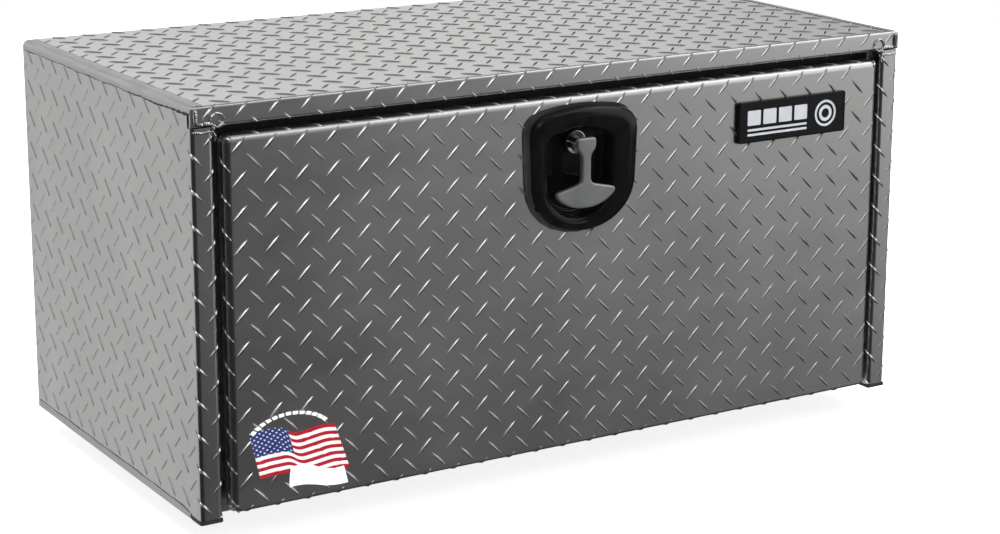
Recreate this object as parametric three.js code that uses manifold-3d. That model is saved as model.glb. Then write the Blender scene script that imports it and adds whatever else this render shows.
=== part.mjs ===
// Underbody truck tool box: a folded tread-plate cabinet with a drop-down front door,
// a continuous rod hinge along the door's bottom edge, a rubber seal round the opening,
// and a three-point latch worked by a folding T-handle that sits in a moulded pan.
// Millimetres, +Z up, +X to the right of someone facing the door, the door towards -Y.
// The origin is under the middle of the whole box, handle included.

import * as THREE from 'three';
import { mergeVertices } from 'three/addons/utils/BufferGeometryUtils.js';
import Module from 'manifold-3d';

const wasm = await Module();
wasm.setup();

// ---------- driving dimensions ----------
const WIDTH = 914;              // over the side panels
const DEPTH = 460;              // posts' front face to back panel
const HEIGHT = 440;
const SHEET = 2.5;              // sheet thickness
const BEND = 5;                 // outer radius of a fold
const GAP = 0.3;                // clearance left between touching pieces

const POST_WIDTH = 25;          // face of each front post
const LIP_HEIGHT = 22;          // drip lip at the front of the top panel
const FRAME_Y = 22.2;           // front face of the flange that carries the seal
const OPENING_X = 410;          // inner edge of the side frame flanges
const HEADER_Z = HEIGHT - 42;    // bottom edge of the header flange
const SILL_Z = 38;              // top edge of the sill flange
const CAP_HEIGHT = 4;           // plastic cap under each post
const CAP_PROUD = 1;

const DOOR_X = 423;             // half width of the door
const DOOR_BOTTOM = 8.5;
const DOOR_TOP = HEIGHT - 32;
const DOOR_FACE_Y = -5;         // the door stands proud of the posts
const DOOR_BACK_Y = 14;
const DOOR_LIP_X = 396;         // inner edge of the door's side return lips
const DOOR_LIP_BOTTOM = 38.5;
const DOOR_LIP_TOP = HEIGHT - 50;

const SEAL_BOTTOM = 27;
const SEAL_INNER_BOTTOM = SILL_Z - 1;
const STIFFENER_X = 250;        // the two door stiffeners, either side of the middle
const STIFFENER_HALF = 30;
const STIFFENER_CROWN = 16;     // half width of the raised part
const CABINET_STAY = { y: 90, z: 330 };    // eyes for the door stays
const DOOR_STAY = { y: 30, z: 290 };

const HINGE_Y = 18.1;
const HINGE_Z = 5.5;
const KNUCKLE_RADIUS = 3.8;
const HINGE_PIN_RADIUS = 2;
const HINGE_LEAF = 1.5;
const HINGE_LEAF_TOP = 24;
const HINGE_HALF_LENGTH = 406;
const KNUCKLES = 14;

const PAN_Z = HEIGHT - 112.5;   // middle of the handle pan
const PAN_CREST_Y = -15.4;
const PAN_FLOOR_Y = 8;
const PAN_WALL = 2.5;
const PAN_HALF_WIDTH = 73;
const PAN_TOP = 74;             // above and below the pan's middle
const PAN_BOTTOM = -73.5;
const RECESS_HALF_WIDTH = 43.5;
const RECESS_TOP = 45;
const RECESS_BOTTOM = -53.5;
const STUD_X = 59;
const STUD_Z = 40;
const STUD_RADIUS = 3;

const NAMEPLATE = { x: 294, z: HEIGHT - 86, width: 155, height: 48, thickness: 4.7 };
const DECAL = { x: -344, z: 62, width: 118, height: 84, thickness: 0.6 };

const HUB_Z = HEIGHT - 84.8;    // axis of the latch
const HUB_FACE_Y = -1;
const HUB_RADIUS = 13.5;
const SHAFT_RADIUS = 7;
const CAM_Y = 27.5;
const CAM_SHEET = 3;
const CAM_PIN_THROW = 20;       // distance of the cam pins from the latch axis
const CAM_PIN_RADIUS = 2.5;
const TONGUE_TIP_Z = HEADER_Z - 1;   // stops 1 mm under the header flange
const PLUG_DROP = 5;            // lock plug below the latch axis
const PLUG_RADIUS = 4.5;

const FOLD_Y = -13.5;           // axis on which the T-handle folds out
const FOLD_DROP = 2;            // that axis below the latch axis
const EAR_RADIUS = 3.5;
const HANDLE_FRONT_Y = -24;
const HANDLE_BACK_Y = -17.5;
const HANDLE_TOP = 10.5;        // top end of the T-handle above its fold axis
const HANDLE_LENGTH = 78;

const ROD_RADIUS = 4;
const ROD_Y = 35;
const ROD_OFFSET = 17;          // rods above and below the latch axis
const ROD_TIP_X = 409;          // stops 1 mm short of the side frame flange

const FRONT_PROUD = -HANDLE_FRONT_Y;
const FRONT_Y = -(DEPTH + FRONT_PROUD) / 2 + FRONT_PROUD;

// ---------- materials ----------
const material = (color, roughness, metalness) =>
  new THREE.MeshStandardMaterial({ color, roughness, metalness });
const treadPlate = () => material('#9b9b98', 0.35, 0.95);
const blackPlastic = () => material('#0d0d0e', 0.25, 0);
const rubber = () => material('#141414', 0.85, 0);
const zincSteel = () => material('#8d8f90', 0.4, 0.9);
const satinZinc = () => material('#6d6f71', 0.38, 0.85);
const nylon = () => material('#26272a', 0.6, 0);
const plateBlack = () => material('#111214', 0.35, 0);
const decalVinyl = () => material('#2f3d86', 0.4, 0);

// ---------- solids ----------
function solid(source) {
  const geometry = source.clone();
  geometry.deleteAttribute('normal');
  geometry.deleteAttribute('uv');
  const merged = mergeVertices(geometry, 1e-4);
  return new wasm.Manifold(new wasm.Mesh({
    numProp: 3,
    vertProperties: new Float32Array(merged.attributes.position.array),
    triVerts: new Uint32Array(merged.index.array),
  }));
}

function toGeometry(manifold) {
  const mesh = manifold.getMesh();
  const geometry = new THREE.BufferGeometry();
  geometry.setAttribute('position', new THREE.BufferAttribute(mesh.vertProperties, 3));
  geometry.setIndex(new THREE.BufferAttribute(mesh.triVerts, 1));
  geometry.computeVertexNormals();
  return geometry;
}

const join = (...pieces) => pieces.reduce((whole, piece) => whole.add(piece));
const cut = (body, ...tools) => tools.reduce((rest, tool) => rest.subtract(tool), body);

function box(x, y, z) {
  const geometry = new THREE.BoxGeometry(x[1] - x[0], y[1] - y[0], z[1] - z[0]);
  geometry.translate((x[0] + x[1]) / 2, (y[0] + y[1]) / 2, (z[0] + z[1]) / 2);
  return solid(geometry);
}

// A round bar along x or y, from `span[0]` to `span[1]`, centred on the other two axes.
function bar(axis, span, centre, radius, segments = 20) {
  const geometry = new THREE.CylinderGeometry(radius, radius, span[1] - span[0], segments);
  const middle = (span[0] + span[1]) / 2;
  if (axis === 'x') geometry.rotateZ(-Math.PI / 2).translate(middle, centre[0], centre[1]);
  if (axis === 'y') geometry.translate(centre[0], middle, centre[1]);
  return solid(geometry);
}

// A shape drawn in (x, z) and extruded along y, with an optional rounded edge at both ends.
function plateXZ(shape, y, bevel = 0, curveSegments = 4) {
  const geometry = new THREE.ExtrudeGeometry(shape, {
    depth: y[1] - y[0] - 2 * bevel,
    bevelEnabled: bevel > 0,
    bevelSize: bevel,
    bevelThickness: bevel,
    bevelOffset: -bevel,
    bevelSegments: 2,
    curveSegments,
  });
  geometry.rotateX(Math.PI / 2).translate(0, y[1] - bevel, 0);
  return solid(geometry);
}

// A shape drawn in (y, z) and extruded along x.
function plateYZ(shape, x) {
  const geometry = new THREE.ExtrudeGeometry(shape, { depth: x[1] - x[0], bevelEnabled: false });
  geometry.rotateX(Math.PI / 2).rotateZ(Math.PI / 2).translate(x[0], 0, 0);
  return solid(geometry);
}

// A shape drawn in (x, y) and extruded along z.
function plateXY(shape, z) {
  const geometry = new THREE.ExtrudeGeometry(shape, { depth: z[1] - z[0], bevelEnabled: false });
  geometry.translate(0, 0, z[0]);
  return solid(geometry);
}

// The outline of a folded sheet. `path` follows one surface, and the sheet lies to its left.
function foldedSheet(path, thickness = SHEET, bend = BEND, steps = 4) {
  const near = [];
  const far = [];
  const points = path.map(([u, v]) => new THREE.Vector2(u, v));
  const leftOf = (direction) => new THREE.Vector2(-direction.y, direction.x);
  points.forEach((point, i) => {
    const before = i > 0 ? point.clone().sub(points[i - 1]).normalize() : null;
    const after = i < points.length - 1 ? points[i + 1].clone().sub(point).normalize() : null;
    if (!before || !after) {
      near.push(point);
      far.push(point.clone().addScaledVector(leftOf(before ?? after), thickness));
      return;
    }
    const turn = Math.sign(before.cross(after));
    const nearRadius = turn > 0 ? bend : bend - thickness;
    const farRadius = turn > 0 ? bend - thickness : bend;
    const centre = point.clone()
      .addScaledVector(before, -nearRadius)
      .addScaledVector(after, nearRadius);
    const start = Math.atan2(-leftOf(before).y * turn, -leftOf(before).x * turn);
    for (let k = 0; k <= steps; k += 1) {
      const angle = start + turn * (Math.PI / 2) * (k / steps);
      const ray = new THREE.Vector2(Math.cos(angle), Math.sin(angle));
      near.push(centre.clone().addScaledVector(ray, nearRadius));
      far.push(centre.clone().addScaledVector(ray, farRadius));
    }
  });
  return new THREE.Shape([...near, ...far.reverse()]);
}

function roundedRect(x, z, radius) {
  const shape = new THREE.Shape();
  shape.moveTo(x[0] + radius, z[0]);
  shape.lineTo(x[1] - radius, z[0]);
  shape.absarc(x[1] - radius, z[0] + radius, radius, -Math.PI / 2, 0, false);
  shape.lineTo(x[1], z[1] - radius);
  shape.absarc(x[1] - radius, z[1] - radius, radius, 0, Math.PI / 2, false);
  shape.lineTo(x[0] + radius, z[1]);
  shape.absarc(x[0] + radius, z[1] - radius, radius, Math.PI / 2, Math.PI, false);
  shape.lineTo(x[0], z[0] + radius);
  shape.absarc(x[0] + radius, z[0] + radius, radius, Math.PI, 1.5 * Math.PI, false);
  return shape;
}

const mirrored = (manifold) => manifold.mirror([1, 0, 0]);

// ---------- scene graph ----------
const toolBox = new THREE.Group();
const front = new THREE.Group();            // y = 0 on the posts' front face
front.position.set(0, FRONT_Y, 0);
toolBox.add(front);
const pan = new THREE.Group();              // origin at the middle of the handle pan
pan.position.set(0, 0, PAN_Z);
const latch = new THREE.Group();            // origin on the latch axis
latch.position.set(0, 0, HUB_Z);
const fold = new THREE.Group();             // origin on the handle's fold axis
fold.position.set(0, FOLD_Y, -FOLD_DROP);
front.add(pan, latch);
latch.add(fold);

function place(parent, name, manifold, finish) {
  const mesh = new THREE.Mesh(toGeometry(manifold), finish);
  mesh.name = name;
  parent.add(mesh);
}

function placePair(parent, name, left, finish) {
  place(parent, `left_${name}`, left, finish());
  place(parent, `right_${name}`, mirrored(left), finish());
}

// ---------- cabinet ----------
const HALF = WIDTH / 2;
const WALL_BOTTOM = SHEET + GAP;
const WALL_TOP = HEIGHT - SHEET - GAP;
const POST_TOP = HEIGHT - LIP_HEIGHT - GAP;
const POST_BOTTOM = CAP_HEIGHT + GAP;

// Side panel: wall, post face, return and frame flange, folded from one sheet.
function sidePanel() {
  const section = foldedSheet([
    [-HALF, 40],
    [-HALF, 0],
    [-HALF + POST_WIDTH, 0],
    [-HALF + POST_WIDTH, FRAME_Y],
    [-OPENING_X, FRAME_Y],
  ]);
  const wallX = [-HALF, -HALF + SHEET];
  return join(
    plateXY(section, [POST_BOTTOM, POST_TOP]),
    box(wallX, [30, DEPTH], [WALL_BOTTOM, WALL_TOP]),
    box(wallX, [SHEET + GAP + BEND, 32], [POST_TOP - 10, WALL_TOP]),
  );
}

// Top panel: flat top, drip lip, return and header flange that carries the seal.
function topPanel() {
  const section = foldedSheet([
    [DEPTH, HEIGHT],
    [0, HEIGHT],
    [0, HEIGHT - LIP_HEIGHT],
    [FRAME_Y, HEIGHT - LIP_HEIGHT],
    [FRAME_Y, HEADER_Z],
  ]);
  const flangeEnd = box([OPENING_X - GAP, HALF + 1], [BEND, FRAME_Y + BEND],
    [HEADER_Z - 1, POST_TOP + SHEET + 2 * GAP]);
  const wallNotch = box([HALF - SHEET - GAP, HALF + 1], [SHEET + GAP, DEPTH + 1],
    [HEADER_Z - 1, HEIGHT - SHEET]);
  return cut(plateYZ(section, [-HALF, HALF]),
    flangeEnd, mirrored(flangeEnd), wallNotch, mirrored(wallNotch));
}

// Bottom panel: floor with an upturned sill, notched round the posts.
function bottomPanel() {
  const section = foldedSheet([[FRAME_Y, SILL_Z], [FRAME_Y, 0], [DEPTH, 0]]);
  const notch = box([OPENING_X - GAP, HALF + 1], [0, FRAME_Y + BEND], [-1, SILL_Z + 1]);
  return cut(plateYZ(section, [-HALF, HALF]), notch, mirrored(notch));
}

function postCap() {
  const x = [-HALF - CAP_PROUD, -HALF + POST_WIDTH + CAP_PROUD / 2];
  const foot = plateXY(roundedRect(x, [-CAP_PROUD, FRAME_Y + SHEET], 3), [0, CAP_HEIGHT]);
  const plugX = [-HALF + SHEET + 1, -HALF + POST_WIDTH - SHEET - 1];
  const plug = box(plugX, [SHEET + 1, FRAME_Y - 2], [CAP_HEIGHT - 1, CAP_HEIGHT + 12]);
  return join(foot, plug);
}

function doorSeal() {
  const ring = roundedRect([-DOOR_X + 2, DOOR_X - 2], [SEAL_BOTTOM, DOOR_TOP - 0.5], 12);
  ring.holes.push(roundedRect([-OPENING_X - 1, OPENING_X + 1],
    [SEAL_INNER_BOTTOM, HEADER_Z + 0.5], 4));
  return plateXZ(ring, [DOOR_BACK_Y + GAP, FRAME_Y - GAP], 2.2);
}

function keeper(x, z, standoff) {
  const plate = roundedRect(x, z, 2);
  return plateXZ(plate, [FRAME_Y + SHEET + GAP, FRAME_Y + SHEET + GAP + standoff]);
}

// A folded tab with an eye, standing off a wall along `y`, for one end of a door stay.
function stayTab(x, footY, eye) {
  const tab = box([x, x + 2], [footY, eye.y + 7], [eye.z - 9, eye.z + 9]);
  return cut(tab, bar('x', [x - 1, x + 3], [eye.y, eye.z], 3.2));
}

place(front, 'top_panel', topPanel(), treadPlate());
place(front, 'bottom_panel', bottomPanel(), treadPlate());
place(front, 'back_panel', box([-HALF + SHEET + GAP, HALF - SHEET - GAP],
  [DEPTH - SHEET, DEPTH], [WALL_BOTTOM, WALL_TOP]), treadPlate());
placePair(front, 'side_panel', sidePanel(), treadPlate);
placePair(front, 'post_cap', postCap(), blackPlastic);
place(front, 'door_seal', doorSeal(), rubber());
place(front, 'left_rod_keeper',
  keeper([-OPENING_X - 20, -OPENING_X], [HUB_Z - 6, HUB_Z + 40], 3), zincSteel());
place(front, 'right_rod_keeper',
  keeper([OPENING_X, OPENING_X + 20], [HUB_Z - 40, HUB_Z + 6], 3), zincSteel());
place(front, 'top_keeper', keeper([-24, 24], [HEADER_Z, HEADER_Z + 15], 2), zincSteel());
placePair(front, 'cabinet_stay_tab',
  stayTab(-HALF + SHEET + GAP, CABINET_STAY.y - 20, CABINET_STAY), zincSteel);

// ---------- hinge ----------
// One leaf: a strip with knuckles at every second station, and the tabs that join them.
function hingeLeaf(leafY, first) {
  const pitch = (2 * HINGE_HALF_LENGTH) / KNUCKLES;
  const strip = box([-HINGE_HALF_LENGTH, HINGE_HALF_LENGTH], leafY,
    [HINGE_Z + KNUCKLE_RADIUS + 0.5, HINGE_LEAF_TOP]);
  const parts = [strip];
  for (let i = first; i < KNUCKLES; i += 2) {
    const start = -HINGE_HALF_LENGTH + i * pitch;
    const span = [start + GAP, start + pitch - GAP];
    parts.push(bar('x', span, [HINGE_Y, HINGE_Z], KNUCKLE_RADIUS, 14));
    parts.push(box(span, leafY, [HINGE_Z, HINGE_Z + KNUCKLE_RADIUS + 1]));
  }
  const bore = bar('x', [-HINGE_HALF_LENGTH - 1, HINGE_HALF_LENGTH + 1],
    [HINGE_Y, HINGE_Z], HINGE_PIN_RADIUS + 0.35, 12);
  return cut(join(...parts), bore);
}

const doorLeafY = [HINGE_Y - KNUCKLE_RADIUS, HINGE_Y - KNUCKLE_RADIUS + HINGE_LEAF];
const cabinetLeafY = [HINGE_Y + KNUCKLE_RADIUS - HINGE_LEAF, HINGE_Y + KNUCKLE_RADIUS];
place(front, 'hinge_cabinet_leaf', hingeLeaf(cabinetLeafY, 0), zincSteel());
place(front, 'hinge_door_leaf', hingeLeaf(doorLeafY, 1), zincSteel());
place(front, 'hinge_pin', bar('x', [-HINGE_HALF_LENGTH, HINGE_HALF_LENGTH],
  [HINGE_Y, HINGE_Z], HINGE_PIN_RADIUS, 12), zincSteel());

// ---------- door ----------
// Outline of the handle pan: arched top, round corners, slightly tapering sides, elliptical foot.
function panOutline(halfWidth, top, bottom, corner) {
  const arch = 4;
  const taper = halfWidth * 0.03;
  const shoulder = top - arch;
  const hip = (top + bottom) / 2 - 0.08 * (top - bottom);
  const foot = halfWidth - taper;
  const shape = new THREE.Shape();
  shape.moveTo(halfWidth - corner, shoulder);
  shape.quadraticCurveTo(0, top + arch, -halfWidth + corner, shoulder);
  shape.bezierCurveTo(-halfWidth + corner * 0.4, shoulder - corner * 0.08,
    -halfWidth, shoulder - corner * 0.4, -halfWidth, shoulder - corner);
  shape.lineTo(-foot, hip);
  shape.bezierCurveTo(-foot, hip + (bottom - hip) * 0.6, -foot * 0.56, bottom, 0, bottom);
  shape.bezierCurveTo(foot * 0.56, bottom, foot, hip + (bottom - hip) * 0.6, foot, hip);
  shape.lineTo(halfWidth, shoulder - corner);
  shape.bezierCurveTo(halfWidth, shoulder - corner * 0.4,
    halfWidth - corner * 0.4, shoulder - corner * 0.08, halfWidth - corner, shoulder);
  return shape;
}

const panRim = (inset) => panOutline(
  PAN_HALF_WIDTH - inset, PAN_TOP - inset, PAN_BOTTOM + inset, 26 - inset / 2);
const panRecess = (spread) => panOutline(
  RECESS_HALF_WIDTH + spread, RECESS_TOP + spread, RECESS_BOTTOM - spread, 16);
const studs = [
  [-STUD_X, STUD_Z], [STUD_X, STUD_Z],
  [-STUD_X + 6, -STUD_Z], [STUD_X - 6, -STUD_Z],
];

const PAN_CURVES = 6;
const panPlate = (outline, y, bevel = 0) => plateXZ(outline, y, bevel, PAN_CURVES);

function panRing(outer, hole, y) {
  outer.holes.push(hole);
  return panPlate(outer, y);
}

function studHoles(y, zOffset) {
  return studs.map(([x, z]) => bar('y', y, [x, z + zOffset], STUD_RADIUS + 0.5, 10));
}

// Door skin: a tread-plate tray with its edges turned back and then inwards.
function doorSkin() {
  const tray = (inset, y, bevel, corner) => plateXZ(
    roundedRect([-DOOR_X + inset, DOOR_X - inset], [DOOR_BOTTOM + inset, DOOR_TOP - inset], corner),
    y, bevel);
  const allBehind = (y) => box([-DOOR_X - 1, DOOR_X + 1], [y, DOOR_BACK_Y + 20], [0, DOOR_TOP + 5]);
  const outer = cut(tray(0, [DOOR_FACE_Y, DOOR_BACK_Y + 10], BEND - 0.5, 6),
    allBehind(DOOR_BACK_Y));
  const inner = cut(tray(SHEET, [DOOR_FACE_Y + SHEET, DOOR_BACK_Y + 10], BEND - SHEET - 0.5, 3.5),
    allBehind(DOOR_BACK_Y - SHEET));
  const opening = box([-DOOR_LIP_X, DOOR_LIP_X], [0, DOOR_BACK_Y + 1],
    [DOOR_LIP_BOTTOM, DOOR_LIP_TOP]);
  const panHole = panPlate(panRecess(PAN_WALL + 1.2), [DOOR_FACE_Y - 1, 0])
    .translate([0, 0, PAN_Z]);
  return cut(outer, inner, opening, panHole, ...studHoles([DOOR_FACE_Y - 1, 0], PAN_Z));
}

// Hat-section stiffener up the inside of the door.
function stiffener() {
  const y = DOOR_FACE_Y + SHEET + GAP;
  const crownY = DOOR_BACK_Y - 2 * SHEET - GAP;
  const footX = [-STIFFENER_X - STIFFENER_HALF, -STIFFENER_X + STIFFENER_HALF];
  const crownX = [-STIFFENER_X - STIFFENER_CROWN, -STIFFENER_X + STIFFENER_CROWN];
  const section = foldedSheet([
    [footX[0], y], [crownX[0], y], [crownX[0], crownY],
    [crownX[1], crownY], [crownX[1], y], [footX[1], y],
  ], 2, 3, 2);
  return plateXY(section, [DOOR_BOTTOM + SHEET + 4, DOOR_TOP - SHEET - 4]);
}

// Handle pan: broad rounded rim, deep recess, four studs behind the rim.
function handlePan() {
  const back = DOOR_FACE_Y - 1 - 2 * GAP;
  const rim = cut(panPlate(panRim(0), [PAN_CREST_Y, back + 10], 5),
    box([-90, 90], [back, back + 20], [-90, 90]));
  const tub = panPlate(panRecess(PAN_WALL), [PAN_CREST_Y + 6, PAN_FLOOR_Y + PAN_WALL], 1.5);
  const recess = panPlate(panRecess(0), [PAN_CREST_Y - 10, PAN_FLOOR_Y], 1.5);
  const flare = panPlate(panRecess(3), [PAN_CREST_Y - 10, PAN_CREST_Y + 2.5], 2.4);
  const posts = studs.map(([x, z]) => bar('y', [back - 2, 8], [x, z], STUD_RADIUS, 12));
  const bore = bar('y', [0, 20], [0, HUB_Z - PAN_Z], 10.3, 24);
  return cut(join(cut(join(rim, tub), recess, flare), ...posts), bore);
}

function nut(y, radius, boreRadius, [x, z]) {
  return cut(bar('y', y, [x, z], radius, 6), bar('y', [y[0] - 1, y[1] + 1], [x, z], boreRadius, 12));
}

const gasketY = [DOOR_FACE_Y - 1 - GAP, DOOR_FACE_Y - GAP];
const clampY = [DOOR_FACE_Y + SHEET + GAP, DOOR_FACE_Y + SHEET + GAP + 2];
const nutY = [clampY[1] + GAP, clampY[1] + GAP + 5];

place(front, 'door_skin', doorSkin(), treadPlate());
placePair(front, 'door_stiffener', stiffener(), zincSteel);
place(pan, 'handle_pan', handlePan(), blackPlastic());
place(pan, 'pan_gasket', cut(panRing(panRim(1.5), panRecess(PAN_WALL + 1.2), gasketY),
  ...studHoles([-10, 0], 0)), rubber());
place(pan, 'pan_clamp_frame', cut(panRing(panRim(4), panRecess(PAN_WALL + 1.2), clampY),
  ...studHoles([-10, 5], 0)), zincSteel());
studs.forEach((spot, i) => {
  place(pan, `pan_nut_${i + 1}`, nut(nutY, 6, STUD_RADIUS + GAP, spot), zincSteel());
});

// Flanged bush that carries the latch shaft in the pan's floor.
const bushStart = PAN_FLOOR_Y + GAP;
place(latch, 'latch_bush', cut(
  join(bar('y', [bushStart, PAN_FLOOR_Y + 12], [0, 0], 9.7, 24),
    bar('y', [PAN_FLOOR_Y + PAN_WALL + GAP, PAN_FLOOR_Y + PAN_WALL + 3], [0, 0], 15, 24)),
  bar('y', [0, 40], [0, 0], SHAFT_RADIUS + 0.4, 24)), nylon());

// A rod guide block on the door's side lip.
function rodGuide(z) {
  const x = [-DOOR_X + 15.5, -DOOR_LIP_X - 0.5];
  const block = plateYZ(roundedRect([DOOR_BACK_Y + GAP, ROD_Y + 8], [z - 12, z + 12], 3), x);
  return cut(block, bar('x', [x[0] - 1, x[1] + 1], [ROD_Y, z], ROD_RADIUS + 0.5, 16));
}
place(front, 'left_rod_guide', rodGuide(HUB_Z + ROD_OFFSET), nylon());
place(front, 'right_rod_guide', mirrored(rodGuide(HUB_Z - ROD_OFFSET)), nylon());
placePair(front, 'door_stay_tab',
  stayTab(-DOOR_LIP_X - 5, DOOR_BACK_Y + GAP, DOOR_STAY), zincSteel);

function facePlate({ x, z, width, height, thickness }, corner) {
  const outline = roundedRect(
    [x - width / 2, x + width / 2], [z - height / 2, z + height / 2], corner);
  return plateXZ(outline, [DOOR_FACE_Y - GAP - thickness, DOOR_FACE_Y - GAP]);
}
place(front, 'nameplate', facePlate(NAMEPLATE, 3), plateBlack());
place(front, 'decal', facePlate(DECAL, 6), decalVinyl());

// ---------- latch ----------
// Hub: round collar, lock bore, two ears that carry the handle, shaft through the pan.
function latchHub() {
  const earX = [6.2, 8.7];
  const ear = join(
    box(earX, [FOLD_Y, HUB_FACE_Y + 2], [-FOLD_DROP - EAR_RADIUS, -FOLD_DROP + EAR_RADIUS]),
    bar('x', earX, [FOLD_Y, -FOLD_DROP], EAR_RADIUS, 18));
  const body = join(
    bar('y', [HUB_FACE_Y, PAN_FLOOR_Y - GAP], [0, 0], HUB_RADIUS, 32),
    bar('y', [PAN_FLOOR_Y - 1, CAM_Y - GAP], [0, 0], SHAFT_RADIUS, 24),
    bar('y', [CAM_Y - 2, CAM_Y + 10], [0, 0], 4.6, 20),
    ear, mirrored(ear));
  const besideEar = box([5.9, 9], [-20, 5], [-6, 2]);
  const dish = cut(bar('y', [HUB_FACE_Y - 1, HUB_FACE_Y + 1], [0, 0], HUB_RADIUS - 2.5, 32),
    besideEar, mirrored(besideEar));
  const lockBore = bar('y', [HUB_FACE_Y - 1, PAN_FLOOR_Y - 2],
    [0, -PLUG_DROP], PLUG_RADIUS + 0.3, 24);
  const pinBore = bar('x', [-20, 20], [FOLD_Y, -FOLD_DROP], 1.85, 12);
  return cut(body, dish, lockBore, pinBore);
}

// Cam plate: disc with an upward tongue and two pins that draw the rods.
function camPlate() {
  const reach = TONGUE_TIP_Z - HUB_Z;
  const tongue = roundedRect([-9, 9], [0, reach], 3);
  const y = [CAM_Y, CAM_Y + CAM_SHEET];
  const lean = CAM_PIN_THROW * Math.SQRT1_2;
  const pinY = [CAM_Y + 1, ROD_Y + 4];
  return cut(join(
    bar('y', y, [0, 0], CAM_PIN_THROW + 5, 36),
    plateXZ(tongue, y),
    bar('y', pinY, [-lean, lean], CAM_PIN_RADIUS, 16),
    bar('y', pinY, [lean, -lean], CAM_PIN_RADIUS, 16),
  ), bar('y', [CAM_Y - 1, CAM_Y + CAM_SHEET + 1], [0, 0], 5, 20));
}

// A lock rod: slotted end plate over its cam pin, round bar out to the side of the door.
function lockRod() {
  const lean = CAM_PIN_THROW * Math.SQRT1_2;
  const plateSpan = [-lean - 11, -lean + 9];
  const slot = [lean - CAM_PIN_RADIUS - 0.6, CAM_PIN_THROW + CAM_PIN_RADIUS + 0.6];
  const halfSlot = CAM_PIN_RADIUS + 0.95;
  const plateY = [ROD_Y - 2, ROD_Y + 2];
  const plate = plateXZ(roundedRect(plateSpan, [slot[0] - 2.2, slot[1] + 2.6], 2), plateY);
  const eye = plateXZ(roundedRect([-lean - halfSlot, -lean + halfSlot], slot, 2),
    [ROD_Y - 3, ROD_Y + 3]);
  const round = bar('x', [-ROD_TIP_X + 10, plateSpan[0] + 3], [ROD_Y, ROD_OFFSET], ROD_RADIUS, 16);
  return cut(join(plate, round), eye);
}

const rodTip = () => bar('x', [-ROD_TIP_X, -ROD_TIP_X + 10 - GAP],
  [ROD_Y, ROD_OFFSET], ROD_RADIUS - 0.2, 16);
const turnedOver = (manifold) => manifold.rotate([0, 180, 0]);

place(latch, 'latch_hub', latchHub(), satinZinc());
place(latch, 'cam_plate', camPlate(), zincSteel());
place(latch, 'cam_nut',
  nut([CAM_Y + CAM_SHEET + GAP, CAM_Y + CAM_SHEET + 6], 7.5, 4.9, [0, 0]), zincSteel());
place(latch, 'left_lock_rod', lockRod(), zincSteel());
place(latch, 'right_lock_rod', turnedOver(lockRod()), zincSteel());
place(latch, 'left_rod_tip', rodTip(), nylon());
place(latch, 'right_rod_tip', turnedOver(rodTip()), nylon());

const plugY = [HUB_FACE_Y - 1.5, PAN_FLOOR_Y - 2 - GAP];
place(latch, 'lock_plug', cut(
  bar('y', plugY, [0, -PLUG_DROP], PLUG_RADIUS, 20),
  box([-0.7, 0.7], [plugY[0] - 1, plugY[0] + 4], [-PLUG_DROP - 3, -PLUG_DROP + 3])), zincSteel());

placePair(fold, 'fold_pin', bar('x', [-12.3, -5.9], [0, 0], 1.5, 12), zincSteel);

// T-handle: broad top, waisted stem, whale-tail grip, and two arms that reach back to its pins.
function tHandle() {
  const top = HANDLE_TOP;
  const right = new THREE.CurvePath();
  const v = (x, drop) => new THREE.Vector2(x, top - drop);
  right.add(new THREE.LineCurve(v(0, 0), v(9, 0)));
  right.add(new THREE.QuadraticBezierCurve(v(9, 0), v(12, 0), v(12, 3)));
  right.add(new THREE.LineCurve(v(12, 3), v(12, 8)));
  right.add(new THREE.CubicBezierCurve(v(12, 8), v(12, 15), v(5.5, 15), v(5.5, 24)));
  right.add(new THREE.LineCurve(v(5.5, 24), v(5.5, 43)));
  right.add(new THREE.CubicBezierCurve(v(5.5, 43), v(5.5, 50), v(9, 51), v(14, 52.4)));
  right.add(new THREE.LineCurve(v(14, 52.4), v(34, 57)));
  right.add(new THREE.CubicBezierCurve(v(34, 57), v(38.4, 58), v(39, 61), v(36.4, 64)));
  right.add(new THREE.CubicBezierCurve(v(36.4, 64), v(28, 73.5), v(14, HANDLE_LENGTH), v(0, HANDLE_LENGTH)));
  const half = right.curves.flatMap((curve) => (
    curve.isLineCurve ? [curve.v1] : curve.getPoints(5).slice(0, -1)));
  const other = half.slice(1).reverse().map((point) => new THREE.Vector2(-point.x, point.y));
  const outline = new THREE.Shape([...half, v(0, HANDLE_LENGTH), ...other]);
  const y = [HANDLE_FRONT_Y - FOLD_Y, HANDLE_BACK_Y - FOLD_Y];
  const arm = join(
    box([9, 12], [y[1] - 1, 0], [-EAR_RADIUS, EAR_RADIUS]),
    bar('x', [9, 12], [0, 0], EAR_RADIUS, 18));
  return cut(join(plateXZ(outline, y, 1.2), arm, mirrored(arm)), bar('x', [-20, 20], [0, 0], 1.85, 12));
}
place(fold, 't_handle', tHandle(), satinZinc());

export default toolBox;
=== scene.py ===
"""Looks for an underbody truck tool box: bright tread plate, gloss black pan, satin T-handle.

Sizes are millimetres on the frame's axes, and become metres when a piece is made. Places come
from the boxes of the CAD nodes.
"""
import math

import bmesh
import bpy
import numpy as np
from mathutils import Matrix, Vector


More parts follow.
